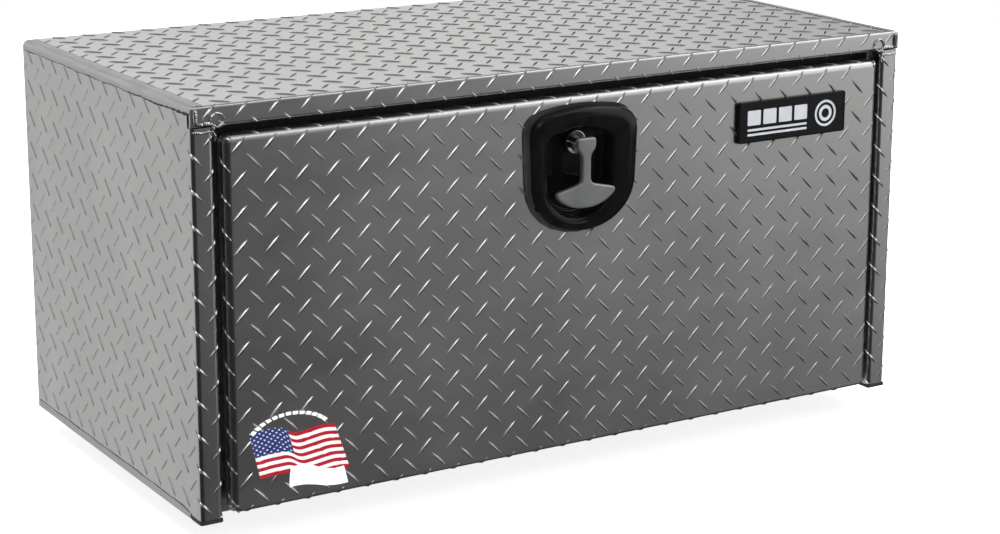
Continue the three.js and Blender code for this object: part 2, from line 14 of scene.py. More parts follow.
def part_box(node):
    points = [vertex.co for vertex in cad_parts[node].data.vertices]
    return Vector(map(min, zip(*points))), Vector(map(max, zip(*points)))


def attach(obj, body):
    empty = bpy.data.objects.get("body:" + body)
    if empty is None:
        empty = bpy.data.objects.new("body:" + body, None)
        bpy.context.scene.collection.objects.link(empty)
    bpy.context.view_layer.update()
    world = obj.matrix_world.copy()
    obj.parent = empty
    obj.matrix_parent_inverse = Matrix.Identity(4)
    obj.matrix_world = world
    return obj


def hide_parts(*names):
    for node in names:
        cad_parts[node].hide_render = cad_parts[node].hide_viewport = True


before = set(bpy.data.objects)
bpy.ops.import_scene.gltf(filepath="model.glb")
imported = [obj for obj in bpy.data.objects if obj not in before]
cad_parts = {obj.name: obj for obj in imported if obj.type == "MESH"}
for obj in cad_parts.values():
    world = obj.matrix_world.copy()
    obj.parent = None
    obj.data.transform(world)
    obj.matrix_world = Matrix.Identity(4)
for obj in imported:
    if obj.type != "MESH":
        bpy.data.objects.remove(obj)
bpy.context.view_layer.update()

MM = 0.001


def reach(node):
    """Lowest and highest corners of a CAD node, in millimetres."""
    low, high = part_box(node)
    return np.array(low) / MM, np.array(high) / MM


side_low, side_high = reach("left_side_panel")
top_low, top_high = reach("top_panel")
door_low, door_high = reach("door_skin")
pan_low, pan_high = reach("handle_pan")
handle_low, handle_high = reach("t_handle")
plug_low, plug_high = reach("lock_plug")
pin_low, pin_high = reach("hinge_pin")
plate_low, plate_high = reach("nameplate")
seal_low, seal_high = reach("door_seal")

# ---------- driving dimensions ----------
HALF = top_high[0]
FRONT = side_low[1]                 # front face of the posts
BACK = top_high[1]
HEIGHT = top_high[2]
SHEET = 2.5
BEND = 5.0                          # outside radius of a fold
CORNER_GRIND = 7.0                  # radius that grinding leaves on the top's ends
EDGE_EASE = 0.35                    # on the cut edges of sheets
GAP = 0.3                           # between pieces that would touch
POST_WIDTH = 25.0
OPENING = -side_high[0]             # inner edge of the side frame flanges
FRAME = FRONT + 22.2                # front face of the frame that carries the seal
LIP_HEIGHT = 22.0
LIP_BEND = 3.2
LIP_LUG_Z = HEIGHT - 6.0            # middle of a lug that goes over the lip's bend
HEADER = top_low[2]
SILL = reach("bottom_panel")[1][2]
WALL_BOTTOM = side_low[2]
WALL_TOP = side_high[2]
CAP_HEIGHT = 4.0
POST_BOTTOM = CAP_HEIGHT + GAP
POST_TOP = HEIGHT - LIP_HEIGHT - GAP

DOOR_BEND = 7.5
DOOR_FOOT_BEND = 3.2                # the fold beside the hinge is tighter
DOOR_CORNER = 9.0
CORNER_CUT = 13.0                   # bare metal at the door's corners
DOOR_REAR_BEND = 3.5
DOOR_LIP = np.array([396.0, 38.5, HEIGHT - 50])     # half width, bottom and top of the opening
HINGE_Y, HINGE_Z = (pin_low[1:] + pin_high[1:]) / 2
KNUCKLES = 14
KNUCKLE_RADIUS = 3.8

PITCH = 35.6                        # door's tread lugs, from one to the next in both directions
CABINET_PITCH = 36.7
LUG_LENGTH = 27.4
LUG_WIDTH = 4.8
LUG_HEIGHT = 1.15
LUG_ROOT = 0.35                     # how far a lug is sunk in its sheet
LUG_STATIONS = 9                    # rows of points along a lug, its tips included
LUG_KINDS = ((1, 0.0), (-1, 0.5))   # which way they lean, and their shift as a share of the pitch
DOOR_PHASE = (19.2, 5.6)            # middle of one rising lug on the door
SEAM_TOP = 14.5                     # ground strip along the top's ends, and down the side
SEAM_SIDE = 9.5
SEAM_FOOT = 9.0                     # strip along the foot of the side

PAN_Z = HEIGHT - 112.5
PAN_HALF_WIDTH = pan_high[0] - 4.0
PAN_SHIFT = 6.0                     # of the rim, to the right of the recess
PAN_TOP = 68.5
PAN_BOTTOM = -70.5
RECESS_HALF_WIDTH = 43.5
RECESS_TOP = 45.0
RECESS_BOTTOM = -53.5
PAN_WALL = 2.5
PAN_FLOOR = FRONT + 8
STUD_RADIUS = 3.0
STUDS = [(-59, 40), (59, 40), (-53, -40), (53, -40)]    # from the middle of the pan

HUB_Z = HEIGHT - 84.8
HUB_RADIUS = 13.5
HUB_FACE = FRONT - 1
FOLD_Y = FRONT - 13.5               # axis of the handle's fold pins
FOLD_Z = HUB_Z - 2
ARM_RADIUS = 3.5

scene = bpy.context.scene


# ---------- shapes ----------
class Shape:
    """Points in millimetres and the faces between them. `raised` marks the tops of lugs."""

    def __init__(self, points=(), faces=(), raised=None):
        self.points, self.raised, self.faces, self.count = [], [], [], 0
        self.add(points, faces, raised)

    def add(self, points, faces, raised=None):
        points = np.asarray(points, float).reshape(-1, 3)
        base = self.count
        self.faces += [tuple(base + i for i in face) for face in faces]
        self.points.append(points)
        self.raised.append(np.zeros(len(points)) if raised is None else np.asarray(raised, float))
        self.count += len(points)
        return self

    def join(self, *others):
        for other in others:
            self.add(other.all_points(), other.faces, np.concatenate(other.raised))
        return self

    def all_points(self):
        return np.concatenate(self.points)

    def mirrored(self):
        return Shape(self.all_points() * (-1, 1, 1), [f[::-1] for f in self.faces],
                     np.concatenate(self.raised))

    def lifted(self, rise):
        return Shape(self.all_points() + (0, 0, rise), self.faces, np.concatenate(self.raised))


def loft(loops, closed=False):
    """Quads between loops of equally many points, closed into a ring or capped at both ends."""
    count, rows = len(loops[0]), len(loops)
    faces = []
    for row in range(rows if closed else rows - 1):
        a, b = row * count, ((row + 1) % rows) * count
        faces += [(a + i, a + (i + 1) % count, b + (i + 1) % count, b + i) for i in range(count)]
    if not closed:
        faces.append(tuple(range(count - 1, -1, -1)))
        faces.append(tuple((rows - 1) * count + i for i in range(count)))
    return Shape(np.concatenate(loops), faces)


def box(low, high):
    """A closed box between two corners."""
    loops = [[(low[0], low[1], z), (high[0], low[1], z), (high[0], high[1], z), (low[0], high[1], z)]
             for z in (low[2], high[2])]
    return loft([np.array(loop, float) for loop in loops])


def lathe(profile, centre, axis=1, steps=40, closed=False):
    """A profile of (radius, distance along the axis) turned round an axis through `centre`."""
    angles = np.linspace(0, 2 * math.pi, steps, endpoint=False)
    u, v = [i for i in range(3) if i != axis]
    loops = []
    for radius, along in profile:
        loop = np.tile(np.asarray(centre, float), (steps, 1))
        loop[:, u] += radius * np.cos(angles)
        loop[:, v] += radius * np.sin(angles)
        loop[:, axis] += along
        loops.append(loop)
    return loft(loops, closed=closed)


def rounded_loop(x, z, radius, y, steps=8):
    """A rounded rectangle that faces the front, at depth y."""
    points = []
    right, left, low, high = x[1] - radius, x[0] + radius, z[0] + radius, z[1] - radius
    corners = ((right, low, -90), (right, high, 0), (left, high, 90), (left, low, 180))
    for centre_x, centre_z, start in corners:
        for k in range(steps + 1):
            angle = math.radians(start + 90 * k / steps)
            points.append((centre_x + radius * math.cos(angle), y, centre_z + radius * math.sin(angle)))
    return np.array(points)


def bezier(p0, p1, p2, p3, steps):
    """Points along a cubic curve, without its last one."""
    t = np.linspace(0, 1, steps, endpoint=False)[:, None]
    p0, p1, p2, p3 = (np.array(p, float) for p in (p0, p1, p2, p3))
    return p0 * (1 - t) ** 3 + 3 * p1 * t * (1 - t) ** 2 + 3 * p2 * t * t * (1 - t) + p3 * t ** 3


def line(p0, p1, steps):
    """Points along a straight line, without its last one."""
    t = np.linspace(0, 1, steps, endpoint=False)[:, None]
    return np.array(p0, float) * (1 - t) + np.array(p1, float) * t


def inset_outline(outline, distance):
    """A closed outline moved inwards along its own normals."""
    forward = np.roll(outline, -1, 0) - np.roll(outline, 1, 0)
    forward /= np.linalg.norm(forward, axis=1)[:, None]
    inward = np.stack([-forward[:, 1], forward[:, 0]], 1)
    ahead = np.roll(outline, -1, 0)
    area = np.sum(outline[:, 0] * ahead[:, 1] - outline[:, 1] * ahead[:, 0])
    return outline + inward * distance * math.copysign(1, area)


def upright(outline, y):
    """An (x, z) outline stood up at depth y."""
    return np.stack([outline[:, 0], np.full(len(outline), float(y)), outline[:, 1]], 1)


def to_mesh(name, shape, scale=MM):
    """A Blender mesh with its faces turned outwards. `raised` becomes an attribute."""
    mesh = bpy.data.meshes.new(name)
    mesh.from_pydata((shape.all_points() * scale).tolist(), [], shape.faces)
    raised = mesh.attributes.new("raised", "FLOAT", "POINT")
    raised.data.foreach_set("value", np.concatenate(shape.raised).astype(np.float32))
    bm = bmesh.new()
    bm.from_mesh(mesh)
    bmesh.ops.recalc_face_normals(bm, faces=bm.faces)
    bm.to_mesh(mesh)
    bm.free()
    return mesh


def carved(shape, cutters=(), ease=0.0):
    """The shape less its cutters, with the sharp edges that are left eased."""
    def temporary(part):
        made = bpy.data.objects.new("temporary", to_mesh("temporary", part, 1.0))
        scene.collection.objects.link(made)
        return made

    body = temporary(shape)
    tools = [temporary(cutter) for cutter in cutters]
    for tool in tools:
        modifier = body.modifiers.new("cut", "BOOLEAN")
        modifier.operation, modifier.solver, modifier.object = "DIFFERENCE", "EXACT", tool
    if ease:
        modifier = body.modifiers.new("ease", "BEVEL")
        modifier.width, modifier.segments = ease, 2
        modifier.limit_method, modifier.angle_limit = "ANGLE", math.radians(45)
    bpy.context.view_layer.update()
    result = body.evaluated_get(bpy.context.evaluated_depsgraph_get()).to_mesh()
    points = np.zeros(len(result.vertices) * 3)
    result.vertices.foreach_get("co", points)
    faces = [tuple(polygon.vertices) for polygon in result.polygons]
    for made in (body, *tools):
        bpy.data.objects.remove(made)
    return Shape(points.reshape(-1, 3), faces)


def soften(obj, crease=32):
    """Smooth shading, kept sharp past the crease angle, with flat faces left flat."""
    obj.data.shade_smooth()
    obj.data.set_sharp_from_angle(angle=math.radians(crease))
    modifier = obj.modifiers.new("flat faces stay flat", "WEIGHTED_NORMAL")
    modifier.keep_sharp = True


def piece(name, shape, body, material, slot, *replaced, crease=32):
    """A finished piece that rides on a body and stands for the CAD nodes it replaces."""
    obj = bpy.data.objects.new(name, to_mesh(name, shape))
    scene.collection.objects.link(obj)
    obj.data.materials.append(material)
    soften(obj, crease)
    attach(obj, body)
    if replaced:
        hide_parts(*replaced)
    return obj


# ---------- materials ----------
class Nodes:
    """Shorthand for building a node tree."""

    def __init__(self, tree):
        self.tree = tree

    def node(self, kind, **inputs):
        made = self.tree.nodes.new(kind)
        for name, value in inputs.items():
            self.feed(made.inputs[name.replace("_", " ")], value)
        return made

    def feed(self, socket, value):
        if isinstance(value, bpy.types.NodeSocket):
            self.tree.links.new(value, socket)
        else:
            socket.default_value = value

    def math(self, operation, a, b=0.0):
        made = self.node("ShaderNodeMath")
        made.operation = operation
        self.feed(made.inputs[0], a)
        self.feed(made.inputs[1], b)
        return made.outputs[0]


class Finish(Nodes):
    """A Principled material under construction."""

    def __init__(self, name, **sockets):
        self.material = bpy.data.materials.new(name)
        self.material.use_nodes = True
        super().__init__(self.material.node_tree)
        self.shader = self.tree.nodes["Principled BSDF"]
        self.place = self.node("ShaderNodeTexCoord").outputs["Object"]
        for socket, value in sockets.items():
            self.shader.inputs[socket.replace("_", " ")].default_value = value

    def noise(self, scale, stretch=(1, 1, 1), detail=3.0):
        """Noise with `scale` cells a metre, drawn out along the axes whose stretch is small."""
        mapping = self.node("ShaderNodeMapping", Vector=self.place, Scale=stretch)
        made = self.node("ShaderNodeTexNoise", Vector=mapping.outputs[0], Scale=scale, Detail=detail)
        return made.outputs[0]

    def fit(self, value, low, high, start=0.3, end=0.7):
        """Carries value from start..end to low..high."""
        made = self.node("ShaderNodeMapRange", Value=value, From_Min=start, From_Max=end,
                         To_Min=low, To_Max=high)
        return made.outputs[0]

    def blend(self, factor, a, b):
        made = self.node("ShaderNodeMix", Factor=factor)
        made.data_type = "RGBA"
        for name, value in (("A", a), ("B", b)):
            socket = [s for s in made.inputs if s.name == name and s.type == "RGBA"][0]
            self.feed(socket, value if isinstance(value, bpy.types.NodeSocket) else (*value, 1))
        return [s for s in made.outputs if s.type == "RGBA"][0]

    def attribute(self, name):
        made = self.node("ShaderNodeAttribute")
        made.attribute_name = name
        return made

    def bump(self, height, depth, strength=1.0):
        made = self.node("ShaderNodeBump", Height=height, Distance=depth * MM, Strength=strength)
        self.feed(self.shader.inputs["Normal"], made.outputs["Normal"])

    def colour(self, value):
        self.feed(self.shader.inputs["Base Color"], value)

    def rough(self, value):
        self.feed(self.shader.inputs["Roughness"], value)

    def mottled(self, cloud, shades, gloss, grain=None, flutter=0.0):
        """Colour and roughness that drift with a cloud, and a finer grain in the roughness."""
        self.colour(self.blend(self.fit(cloud, 0, 1), *shades))
        rough = self.fit(cloud, *gloss)
        if grain is not None:
            rough = self.math("ADD", rough, self.fit(grain, -flutter, flutter))
        self.rough(rough)


def tread_finish(name, grain, bright=0.80, dull=0.68, smooth=0.27, coarse=0.36):
    """Bright mill-finish aluminium: rolled grain, faint clouding, polished lug tops.

    `grain` is 0 on the axis that the grain runs along, and 1 on the others.
    """
    made = Finish(name, Metallic=1.0)
    cloud = made.noise(7, detail=4.0)
    smear = made.noise(38, tuple(1.0 if g else 0.25 for g in grain), detail=4.0)
    patches = made.math("ADD", made.math("MULTIPLY", cloud, 0.6), made.math("MULTIPLY", smear, 0.4))
    shades = [(grey, grey, grey * 0.985) for grey in (dull, bright)]
    plain = made.blend(made.fit(patches, 0, 1), *shades)
    raised = made.attribute("raised").outputs["Fac"]
    made.colour(made.blend(made.fit(raised, 0, 0.6, 0.1, 0.9), plain, (0.9, 0.9, 0.89)))
    rolled = made.noise(900, tuple(1.0 if g else 0.03 for g in grain), detail=2.0)
    rough = made.math("ADD", made.fit(patches, smooth, coarse), made.fit(rolled, -0.01, 0.01))
    made.rough(made.math("SUBTRACT", rough, made.fit(raised, 0, 0.07, 0.1, 0.9)))
    made.bump(rolled, 0.006, 0.6)
    return made.material


def ground_finish():
    """Aluminium dressed with a grinding disc."""
    made = Finish("ground_aluminium", Metallic=1.0)
    strokes = made.noise(420, (1, 0.06, 1))
    made.mottled(made.noise(30), ((0.66, 0.66, 0.655), (0.74, 0.74, 0.73)), (0.42, 0.52), strokes, 0.04)
    made.bump(strokes, 0.015, 0.5)
    return made.material


def weld_finish():
    """Bare weld metal, bright and finely pitted."""
    made = Finish("weld_metal", Metallic=1.0)
    speck = made.noise(600)
    made.mottled(speck, ((0.70, 0.70, 0.69), (0.9, 0.9, 0.89)), (0.2, 0.34))
    made.bump(speck, 0.08)
    return made.material


def seam_shadow_finish():
    """Painted shadow: a near-black finish for the seam lines, standing in for the shade in their crevices."""
    made = Finish("painted_seam_shadow", Metallic=0.0)
    speck = made.noise(500)
    made.mottled(speck, ((0.012, 0.012, 0.011), (0.05, 0.048, 0.045)), (0.6, 0.9))
    made.bump(speck, 0.1)
    return made.material


def steel_finish():
    """Zinc-plated steel with a faint chromate tint."""
    made = Finish("zinc_steel", Metallic=1.0)
    speck = made.noise(700, detail=2.0)
    made.mottled(made.noise(60, detail=4.0), ((0.60, 0.59, 0.55), (0.70, 0.71, 0.72)), (0.30, 0.42),
                 speck, 0.03)
    made.bump(speck, 0.02, 0.7)
    return made.material


def handle_finish():
    """Satin die-cast zinc, with a fine tumbled grain."""
    made = Finish("satin_zinc", Metallic=0.9)
    grain = made.noise(1100, detail=2.0)
    made.mottled(made.noise(45), ((0.36, 0.37, 0.38), (0.44, 0.45, 0.455)), (0.28, 0.36), grain, 0.03)
    made.bump(grain, 0.03, 0.7)
    return made.material


def hub_finish():
    """Polished zinc with a smoky plating."""
    made = Finish("polished_zinc", Metallic=1.0)
    turning = made.noise(1400, detail=2.0)
    made.mottled(made.noise(90), ((0.30, 0.30, 0.31), (0.40, 0.40, 0.41)), (0.12, 0.2), turning, 0.02)
    made.bump(turning, 0.015, 0.6)
    return made.material


def moulded_finish(name, dark, light, gloss, texture, depth, sheen=0.5):
    """Moulded plastic or rubber with a fine surface texture and slight handling marks."""
    made = Finish(name, Metallic=0.0, Specular_IOR_Level=sheen)
    fine = made.noise(texture, detail=2.0)
    made.mottled(made.noise(55, detail=4.0), (dark, light), gloss, fine, 0.03)
    made.bump(fine, depth, 0.8)
    return made.material


def decal_finish():
    """Printed vinyl. The attribute `print` holds the place across, the place down and the ink."""
    made = Finish("decal_print", Specular_IOR_Level=0.12)
    parts = made.node("ShaderNodeSeparateXYZ", Vector=made.attribute("print").outputs["Vector"])
    across, down, ink = parts.outputs
    stripes = made.math("GREATER_THAN", made.math("FRACT", made.math("MULTIPLY", down, 6.5)), 0.5)
    striped = made.blend(stripes, (0.35, 0.001, 0.013), (0.74, 0.72, 0.73))
    corner = made.math("MULTIPLY", made.math("LESS_THAN", across, 0.45),
                       made.math("LESS_THAN", down, 0.54))

    def dots(shift):
        """Rows of round dots, moved by a share of their spacing."""
        squares = []
        for place, count in ((across, 13.3), (down, 9.3)):
            cell = made.math("FRACT", made.math("ADD", made.math("MULTIPLY", place, count), shift))
            offset = made.math("SUBTRACT", cell, 0.5)
            squares.append(made.math("MULTIPLY", offset, offset))
        return made.math("LESS_THAN", made.math("ADD", *squares), 0.024)

    both_rows = made.math("MAXIMUM", dots(0), dots(0.5))
    dotted = made.blend(both_rows, (0.013, 0.028, 0.13), (0.5, 0.52, 0.6))
    banner = made.blend(corner, striped, dotted)
    printed = made.blend(made.math("GREATER_THAN", ink, 0.5), banner, (0.94, 0.94, 0.94))
    wear = made.noise(160)
    made.colour(made.blend(made.fit(wear, 0.0, 0.03), printed, (0.4, 0.4, 0.4)))
    made.rough(made.fit(wear, 0.28, 0.42))
    made.bump(made.noise(500), 0.015)
    return made.material


front_tread = tread_finish("tread_front", (0, 1, 1))
side_tread = tread_finish("tread_side", (1, 1, 0))
top_tread = tread_finish("tread_top", (0, 1, 1))
inside_sheet = tread_finish("mill_finish_inside", (0, 1, 1), 0.74, 0.62, 0.34, 0.44)
ground = ground_finish()
weld = weld_finish()
# near-black finish that paints the shadow in the seams
shadow_paint = seam_shadow_finish()
steel = steel_finish()
satin = handle_finish()
polished = hub_finish()
ink_black = ((0.003, 0.003, 0.0035), (0.006, 0.006, 0.007))
gloss_black = moulded_finish("gloss_black", *ink_black, (0.07, 0.13), 350, 0.012, 0.25)
plate_black = moulded_finish("plate_black", *ink_black, (0.2, 0.3), 420, 0.02, 0.2)
matt_black = moulded_finish("matt_black", (0.016, 0.016, 0.017), (0.028, 0.028, 0.03), (0.4, 0.55), 900, 0.04)
rubber = moulded_finish("rubber", (0.014, 0.014, 0.014), (0.03, 0.03, 0.03), (0.6, 0.78), 700, 0.06)
nylon = moulded_finish("nylon", (0.035, 0.036, 0.04), (0.055, 0.057, 0.062), (0.42, 0.58), 500, 0.04)
plate_ink = moulded_finish("plate_ink", (0.42, 0.44, 0.47), (0.52, 0.54, 0.57), (0.35, 0.5), 420, 0.02)


# ---------- tread lugs ----------
# Places across a lug as shares of its half width, and shares of its height. None is its root.
LUG_PROFILE = ((-1.0, None), (-0.66, 0.13), (-0.40, 0.42), (-0.19, 0.86), (0.0, 1.0),
               (0.19, 0.86), (0.40, 0.42), (0.66, 0.13), (1.0, None))


def lug_swell(along):
    """Share of a lug's full width and height at a place from -1 to 1 along it."""
    along = np.minimum(np.abs(along), 1)
    return 1 - along ** 2.2, 1 - along ** 2.8


def lug_template(lean):
    """One lug about the origin of a flat sheet. `lean` 1 rises to the right, and -1 falls."""
    points = [(-LUG_LENGTH / 2, 0, -LUG_ROOT)]
    for place in np.linspace(-1, 1, LUG_STATIONS)[1:-1]:
        width, height = lug_swell(place)
        for across, share in LUG_PROFILE:
            level = -LUG_ROOT if share is None else LUG_HEIGHT * height * share
            points.append((place * LUG_LENGTH / 2, across * width * LUG_WIDTH / 2, level))
    points = np.array([*points, (LUG_LENGTH / 2, 0, -LUG_ROOT)])
    count = len(LUG_PROFILE)
    faces = []
    last = len(points) - 1
    for k in range(count):
        nxt = (k + 1) % count
        faces.append((0, 1 + nxt, 1 + k))
        faces.append((last, last - count + k, last - count + nxt))
    for row in range(LUG_STATIONS - 3):
        a, b = 1 + row * count, 1 + (row + 1) * count
        faces += [(a + k, a + (k + 1) % count, b + (k + 1) % count, b + k) for k in range(count)]
    along, across, level = points.T
    diagonal = math.sqrt(0.5)
    flat = np.stack([(along - lean * across) * diagonal, (lean * along + across) * diagonal, level], 1)
    return flat, faces


def clipped(parts, u_span, v_span):
    """Lugs cut off square at the edges of their sheet, and closed again."""
    bm = bmesh.new()
    for points, faces in parts:
        corners = [bm.verts.new(p) for p in points]
        for face in faces:
            bm.faces.new([corners[i] for i in face])
    planes = (((u_span[0], 0, 0), (-1, 0, 0)), ((u_span[1], 0, 0), (1, 0, 0)),
              ((0, v_span[0], 0), (0, -1, 0)), ((0, v_span[1], 0), (0, 1, 0)))
    for place, normal in planes:
        everything = [*bm.verts, *bm.edges, *bm.faces]
        cut = bmesh.ops.bisect_plane(bm, geom=everything, dist=1e-5, plane_co=place,
                                     plane_no=normal, clear_outer=True)
        rims = [e for e in cut["geom_cut"] if isinstance(e, bmesh.types.BMEdge)]
        bmesh.ops.holes_fill(bm, edges=rims, sides=0)
    bm.verts.index_update()
    points = np.array([v.co for v in bm.verts]).reshape(-1, 3)
    faces = [tuple(v.index for v in face.verts) for face in bm.faces]
    bm.free()
    return points, faces


def tread(onto, u_span, v_span, phase, pitch=CABINET_PITCH, keep=None):
    """All the lugs in a rectangle of the flat sheet, which `onto` bends into place."""
    made = Shape()
    for lean, shift in LUG_KINDS:
        flat, faces = lug_template(lean)
        half = np.abs(flat).max(0)[:2]
        start = [phase[i] + shift * pitch for i in (0, 1)]
        places = []
        for span, first in ((u_span, start[0]), (v_span, start[1])):
            low = math.ceil((span[0] - half[0] - first) / pitch)
            high = math.floor((span[1] + half[0] - first) / pitch)
            places.append([first + k * pitch for k in range(low, high + 1)])
        whole, crossing = [], []
        for u in places[0]:
            for v in places[1]:
                if keep is not None and not keep(u, v):
                    continue
                inside = (u_span[0] + half[0] < u < u_span[1] - half[0]
                          and v_span[0] + half[1] < v < v_span[1] - half[1])
                moved = flat + (u, v, 0)
                (whole if inside else crossing).append((moved, faces))
        if crossing:
            whole.append(clipped(crossing, u_span, v_span))
        for points, its_faces in whole:
            if len(points):
                made.add(onto(points[:, 0], points[:, 1], points[:, 2]), its_faces,
                         np.clip(points[:, 2] / LUG_HEIGHT, 0, 1))
    return made


def lug_level(u, v, phase, pitch):
    """Height of the tread over a point of the flat sheet."""
    best = np.zeros_like(u)
    for lean, shift in LUG_KINDS:
        du = (u - phase[0] - shift * pitch + pitch / 2) % pitch - pitch / 2
        dv = (v - phase[1] - shift * pitch + pitch / 2) % pitch - pitch / 2
        along = (du + lean * dv) * math.sqrt(0.5) / (LUG_LENGTH / 2)
        across = (dv - lean * du) * math.sqrt(0.5) / (LUG_WIDTH / 2)
        width, height = lug_swell(along)
        share = np.clip(1 - np.abs(across) / np.maximum(width, 0.05), 0, 1)
        best = np.maximum(best, LUG_HEIGHT * height * np.sin(share * math.pi / 2))
    return best


# ---------- bent sheets ----------
class Fold:
    """The outside of a bent sheet. A distance along it becomes a place and an outward direction.

    The corners are joined in the order given, and the outside is on the right. A fold's radius
    is that of its convex side.
    """

    def __init__(self, corners, radii=None):
        corners = [np.array(c, float) for c in corners]
        self.runs = []
        here, distance = corners[0], 0.0
        for i in range(1, len(corners)):
            ahead = corners[i] - corners[i - 1]
            ahead /= np.linalg.norm(ahead)
            last = i == len(corners) - 1
            after = None if last else corners[i + 1] - corners[i]
            turn = 0 if last else int(np.sign(ahead[0] * after[1] - ahead[1] * after[0]))
            convex = radii[i - 1] if radii and not last else BEND
            radius = 0 if last else (convex if turn > 0 else convex - SHEET)
            end = corners[i] - ahead * radius
            length = float(np.linalg.norm(end - here))
            self.runs.append((distance, length, here, ahead, 0, 0.0))
            distance += length
            if not last:
                centre = end + turn * radius * np.array([-ahead[1], ahead[0]])
                begin = math.atan2(*(end - centre)[::-1])
                arc = radius * math.pi / 2
                self.runs.append((distance, arc, centre, begin, turn, radius))
                distance += arc
                here = centre + radius * np.array([math.cos(begin + turn * math.pi / 2),
                                                   math.sin(begin + turn * math.pi / 2)])
        self.length = distance

    def at(self, distance, height=0.0):
        """Places at these distances along the outside, lifted off it by these heights."""
        distance = np.asarray(distance, float)
        height = np.broadcast_to(np.asarray(height, float), distance.shape)
        found = np.zeros(distance.shape + (2,))
        for start, length, origin, way, turn, radius in self.runs:
            here = (distance >= start - 1e-6) & (distance <= start + length + 1e-6)
            if start == 0:
                here |= distance < 0
            if start + length >= self.length - 1e-6:
                here |= distance > self.length
            step, lift = distance[here] - start, height[here]
            if turn == 0:
                outward = np.array([way[1], -way[0]])
                found[here] = origin + step[:, None] * way + lift[:, None] * outward
            else:
                angle = way + turn * step / radius
                ray = np.stack([np.cos(angle), np.sin(angle)], 1)
                found[here] = origin + (radius + turn * lift)[:, None] * ray
        return found

    def stations(self, steps=8):
        """Distances at which the sheet's mesh has a row of points."""
        places = [0.0]
        for start, length, _, _, turn, _ in self.runs:
            count = steps if turn else 1
            places += [start + length * (k + 1) / count for k in range(count)]
        return places

    def start_of(self, index):
        """Distance at which straight run number `index` starts."""
        return [run[0] for run in self.runs if run[4] == 0][index]

    def sheet(self, span, stand):
        """The solid sheet over a span of its bend lines. `stand` puts its points in space."""
        loops = []
        for station in self.stations():
            outer, inner = self.at([station])[0], self.at([station], [-SHEET])[0]
            section = ((outer, span[0]), (outer, span[1]), (inner, span[1]), (inner, span[0]))
            loops.append(np.array([stand(p, t) for p, t in section]))
        return loft(loops)


def stand_xy(place, z):
    return (place[0], place[1], z)


def stand_yz(place, x):
    return (x, place[0], place[1])


# ---------- cabinet ----------
def end_corner():
    """What grinding takes off the left top corner: all that lies outside a round edge."""
    centre = (-HALF + CORNER_GRIND, HEIGHT - CORNER_GRIND)
    arc = [(centre[0] - CORNER_GRIND * math.cos(a), centre[1] + CORNER_GRIND * math.sin(a))
           for a in np.linspace(0, math.pi / 2, 9)]
    section = [(-HALF - 2, centre[1]), *arc, (centre[0], HEIGHT + 2), (-HALF - 2, HEIGHT + 2)]
    return loft([np.array([(x, y, z) for x, z in section]) for y in (FRONT + 1, BACK + 2)])


def side_panel():
    """Wall, post face and return with lugs, and the bare flange that carries the seal."""
    fold = Fold([(-HALF, BACK), (-HALF, FRONT), (-HALF + POST_WIDTH, FRONT),
                 (-HALF + POST_WIDTH, FRAME), (-OPENING, FRAME)])
    sheet = fold.sheet((WALL_BOTTOM, WALL_TOP), stand_xy)
    past_wall = FRONT + BEND + SHEET + GAP
    over = box((-HALF - 5, FRONT - 5, POST_TOP), (-OPENING + 5, past_wall, HEIGHT))
    under = box((-HALF - 5, FRONT - 5, 0), (-OPENING + 5, FRAME + 8, POST_BOTTOM))
    beside = box((-HALF + SHEET + 0.5, FRONT - 5, POST_TOP), (-OPENING + 5, FRAME + 8, HEIGHT))
    shape = carved(sheet, (over, under, beside, end_corner()), EDGE_EASE)

    def onto(u, v, h):
        return np.column_stack([fold.at(u, h), v])

    post_start = fold.start_of(1)
    phase = (post_start - 2 + CABINET_PITCH / 2, 2.8)
    wall_end = post_start - BEND * math.pi / 2
    shape.join(
        tread(onto, (3, wall_end), (SEAM_FOOT + 1, HEIGHT - SEAM_SIDE - 1), phase),
        tread(onto, (wall_end, fold.start_of(2) + 9), (POST_BOTTOM + 1, POST_TOP - 1), phase))
    return shape


def top_panel():
    """Flat top, drip lip and its return with lugs, and the bare header flange."""
    fold = Fold([(BACK, HEIGHT), (FRONT, HEIGHT), (FRONT, HEIGHT - LIP_HEIGHT),
                 (FRAME, HEIGHT - LIP_HEIGHT), (FRAME, HEADER)], (LIP_BEND, LIP_BEND, BEND))
    sheet = fold.sheet((-HALF, HALF), stand_yz)
    end = box((OPENING - GAP, FRONT + BEND, HEADER - 1),
              (HALF + 1, FRAME + BEND, POST_TOP + SHEET + 2 * GAP))
    wall = box((HALF - SHEET - GAP, FRONT + SHEET + GAP, HEADER - 1),
               (HALF + 1, BACK + 1, HEIGHT - SHEET))
    cutters = [cutter for part in (end, wall, end_corner()) for cutter in (part, part.mirrored())]
    shape = carved(sheet, cutters, EDGE_EASE)
    total = fold.start_of(2)

    def onto(u, v, h):
        return np.column_stack([u, fold.at(total - v, h)])

    lip_start = fold.start_of(1)
    phase = (-HALF + 20.7, total - (lip_start + HEIGHT - LIP_BEND - LIP_LUG_Z))
    bend_top = total - (lip_start - LIP_BEND * math.pi / 2)
    strip = HALF - SEAM_TOP - 0.5
    shape.join(
        tread(onto, (-strip, strip), (bend_top, total - 3), phase),
        tread(onto, (-HALF + 10, HALF - 10), (-11, bend_top), phase))
    return shape


def bottom_panel():
    """Floor of the box and the upturned sill behind the door."""
    fold = Fold([(FRAME, SILL), (FRAME, 0), (BACK, 0)])
    notch = box((OPENING - GAP, FRAME - 5, -1), (HALF + 1, FRAME + BEND, SILL + 1))
    return carved(fold.sheet((-HALF, HALF), stand_yz), (notch, notch.mirrored()), EDGE_EASE)


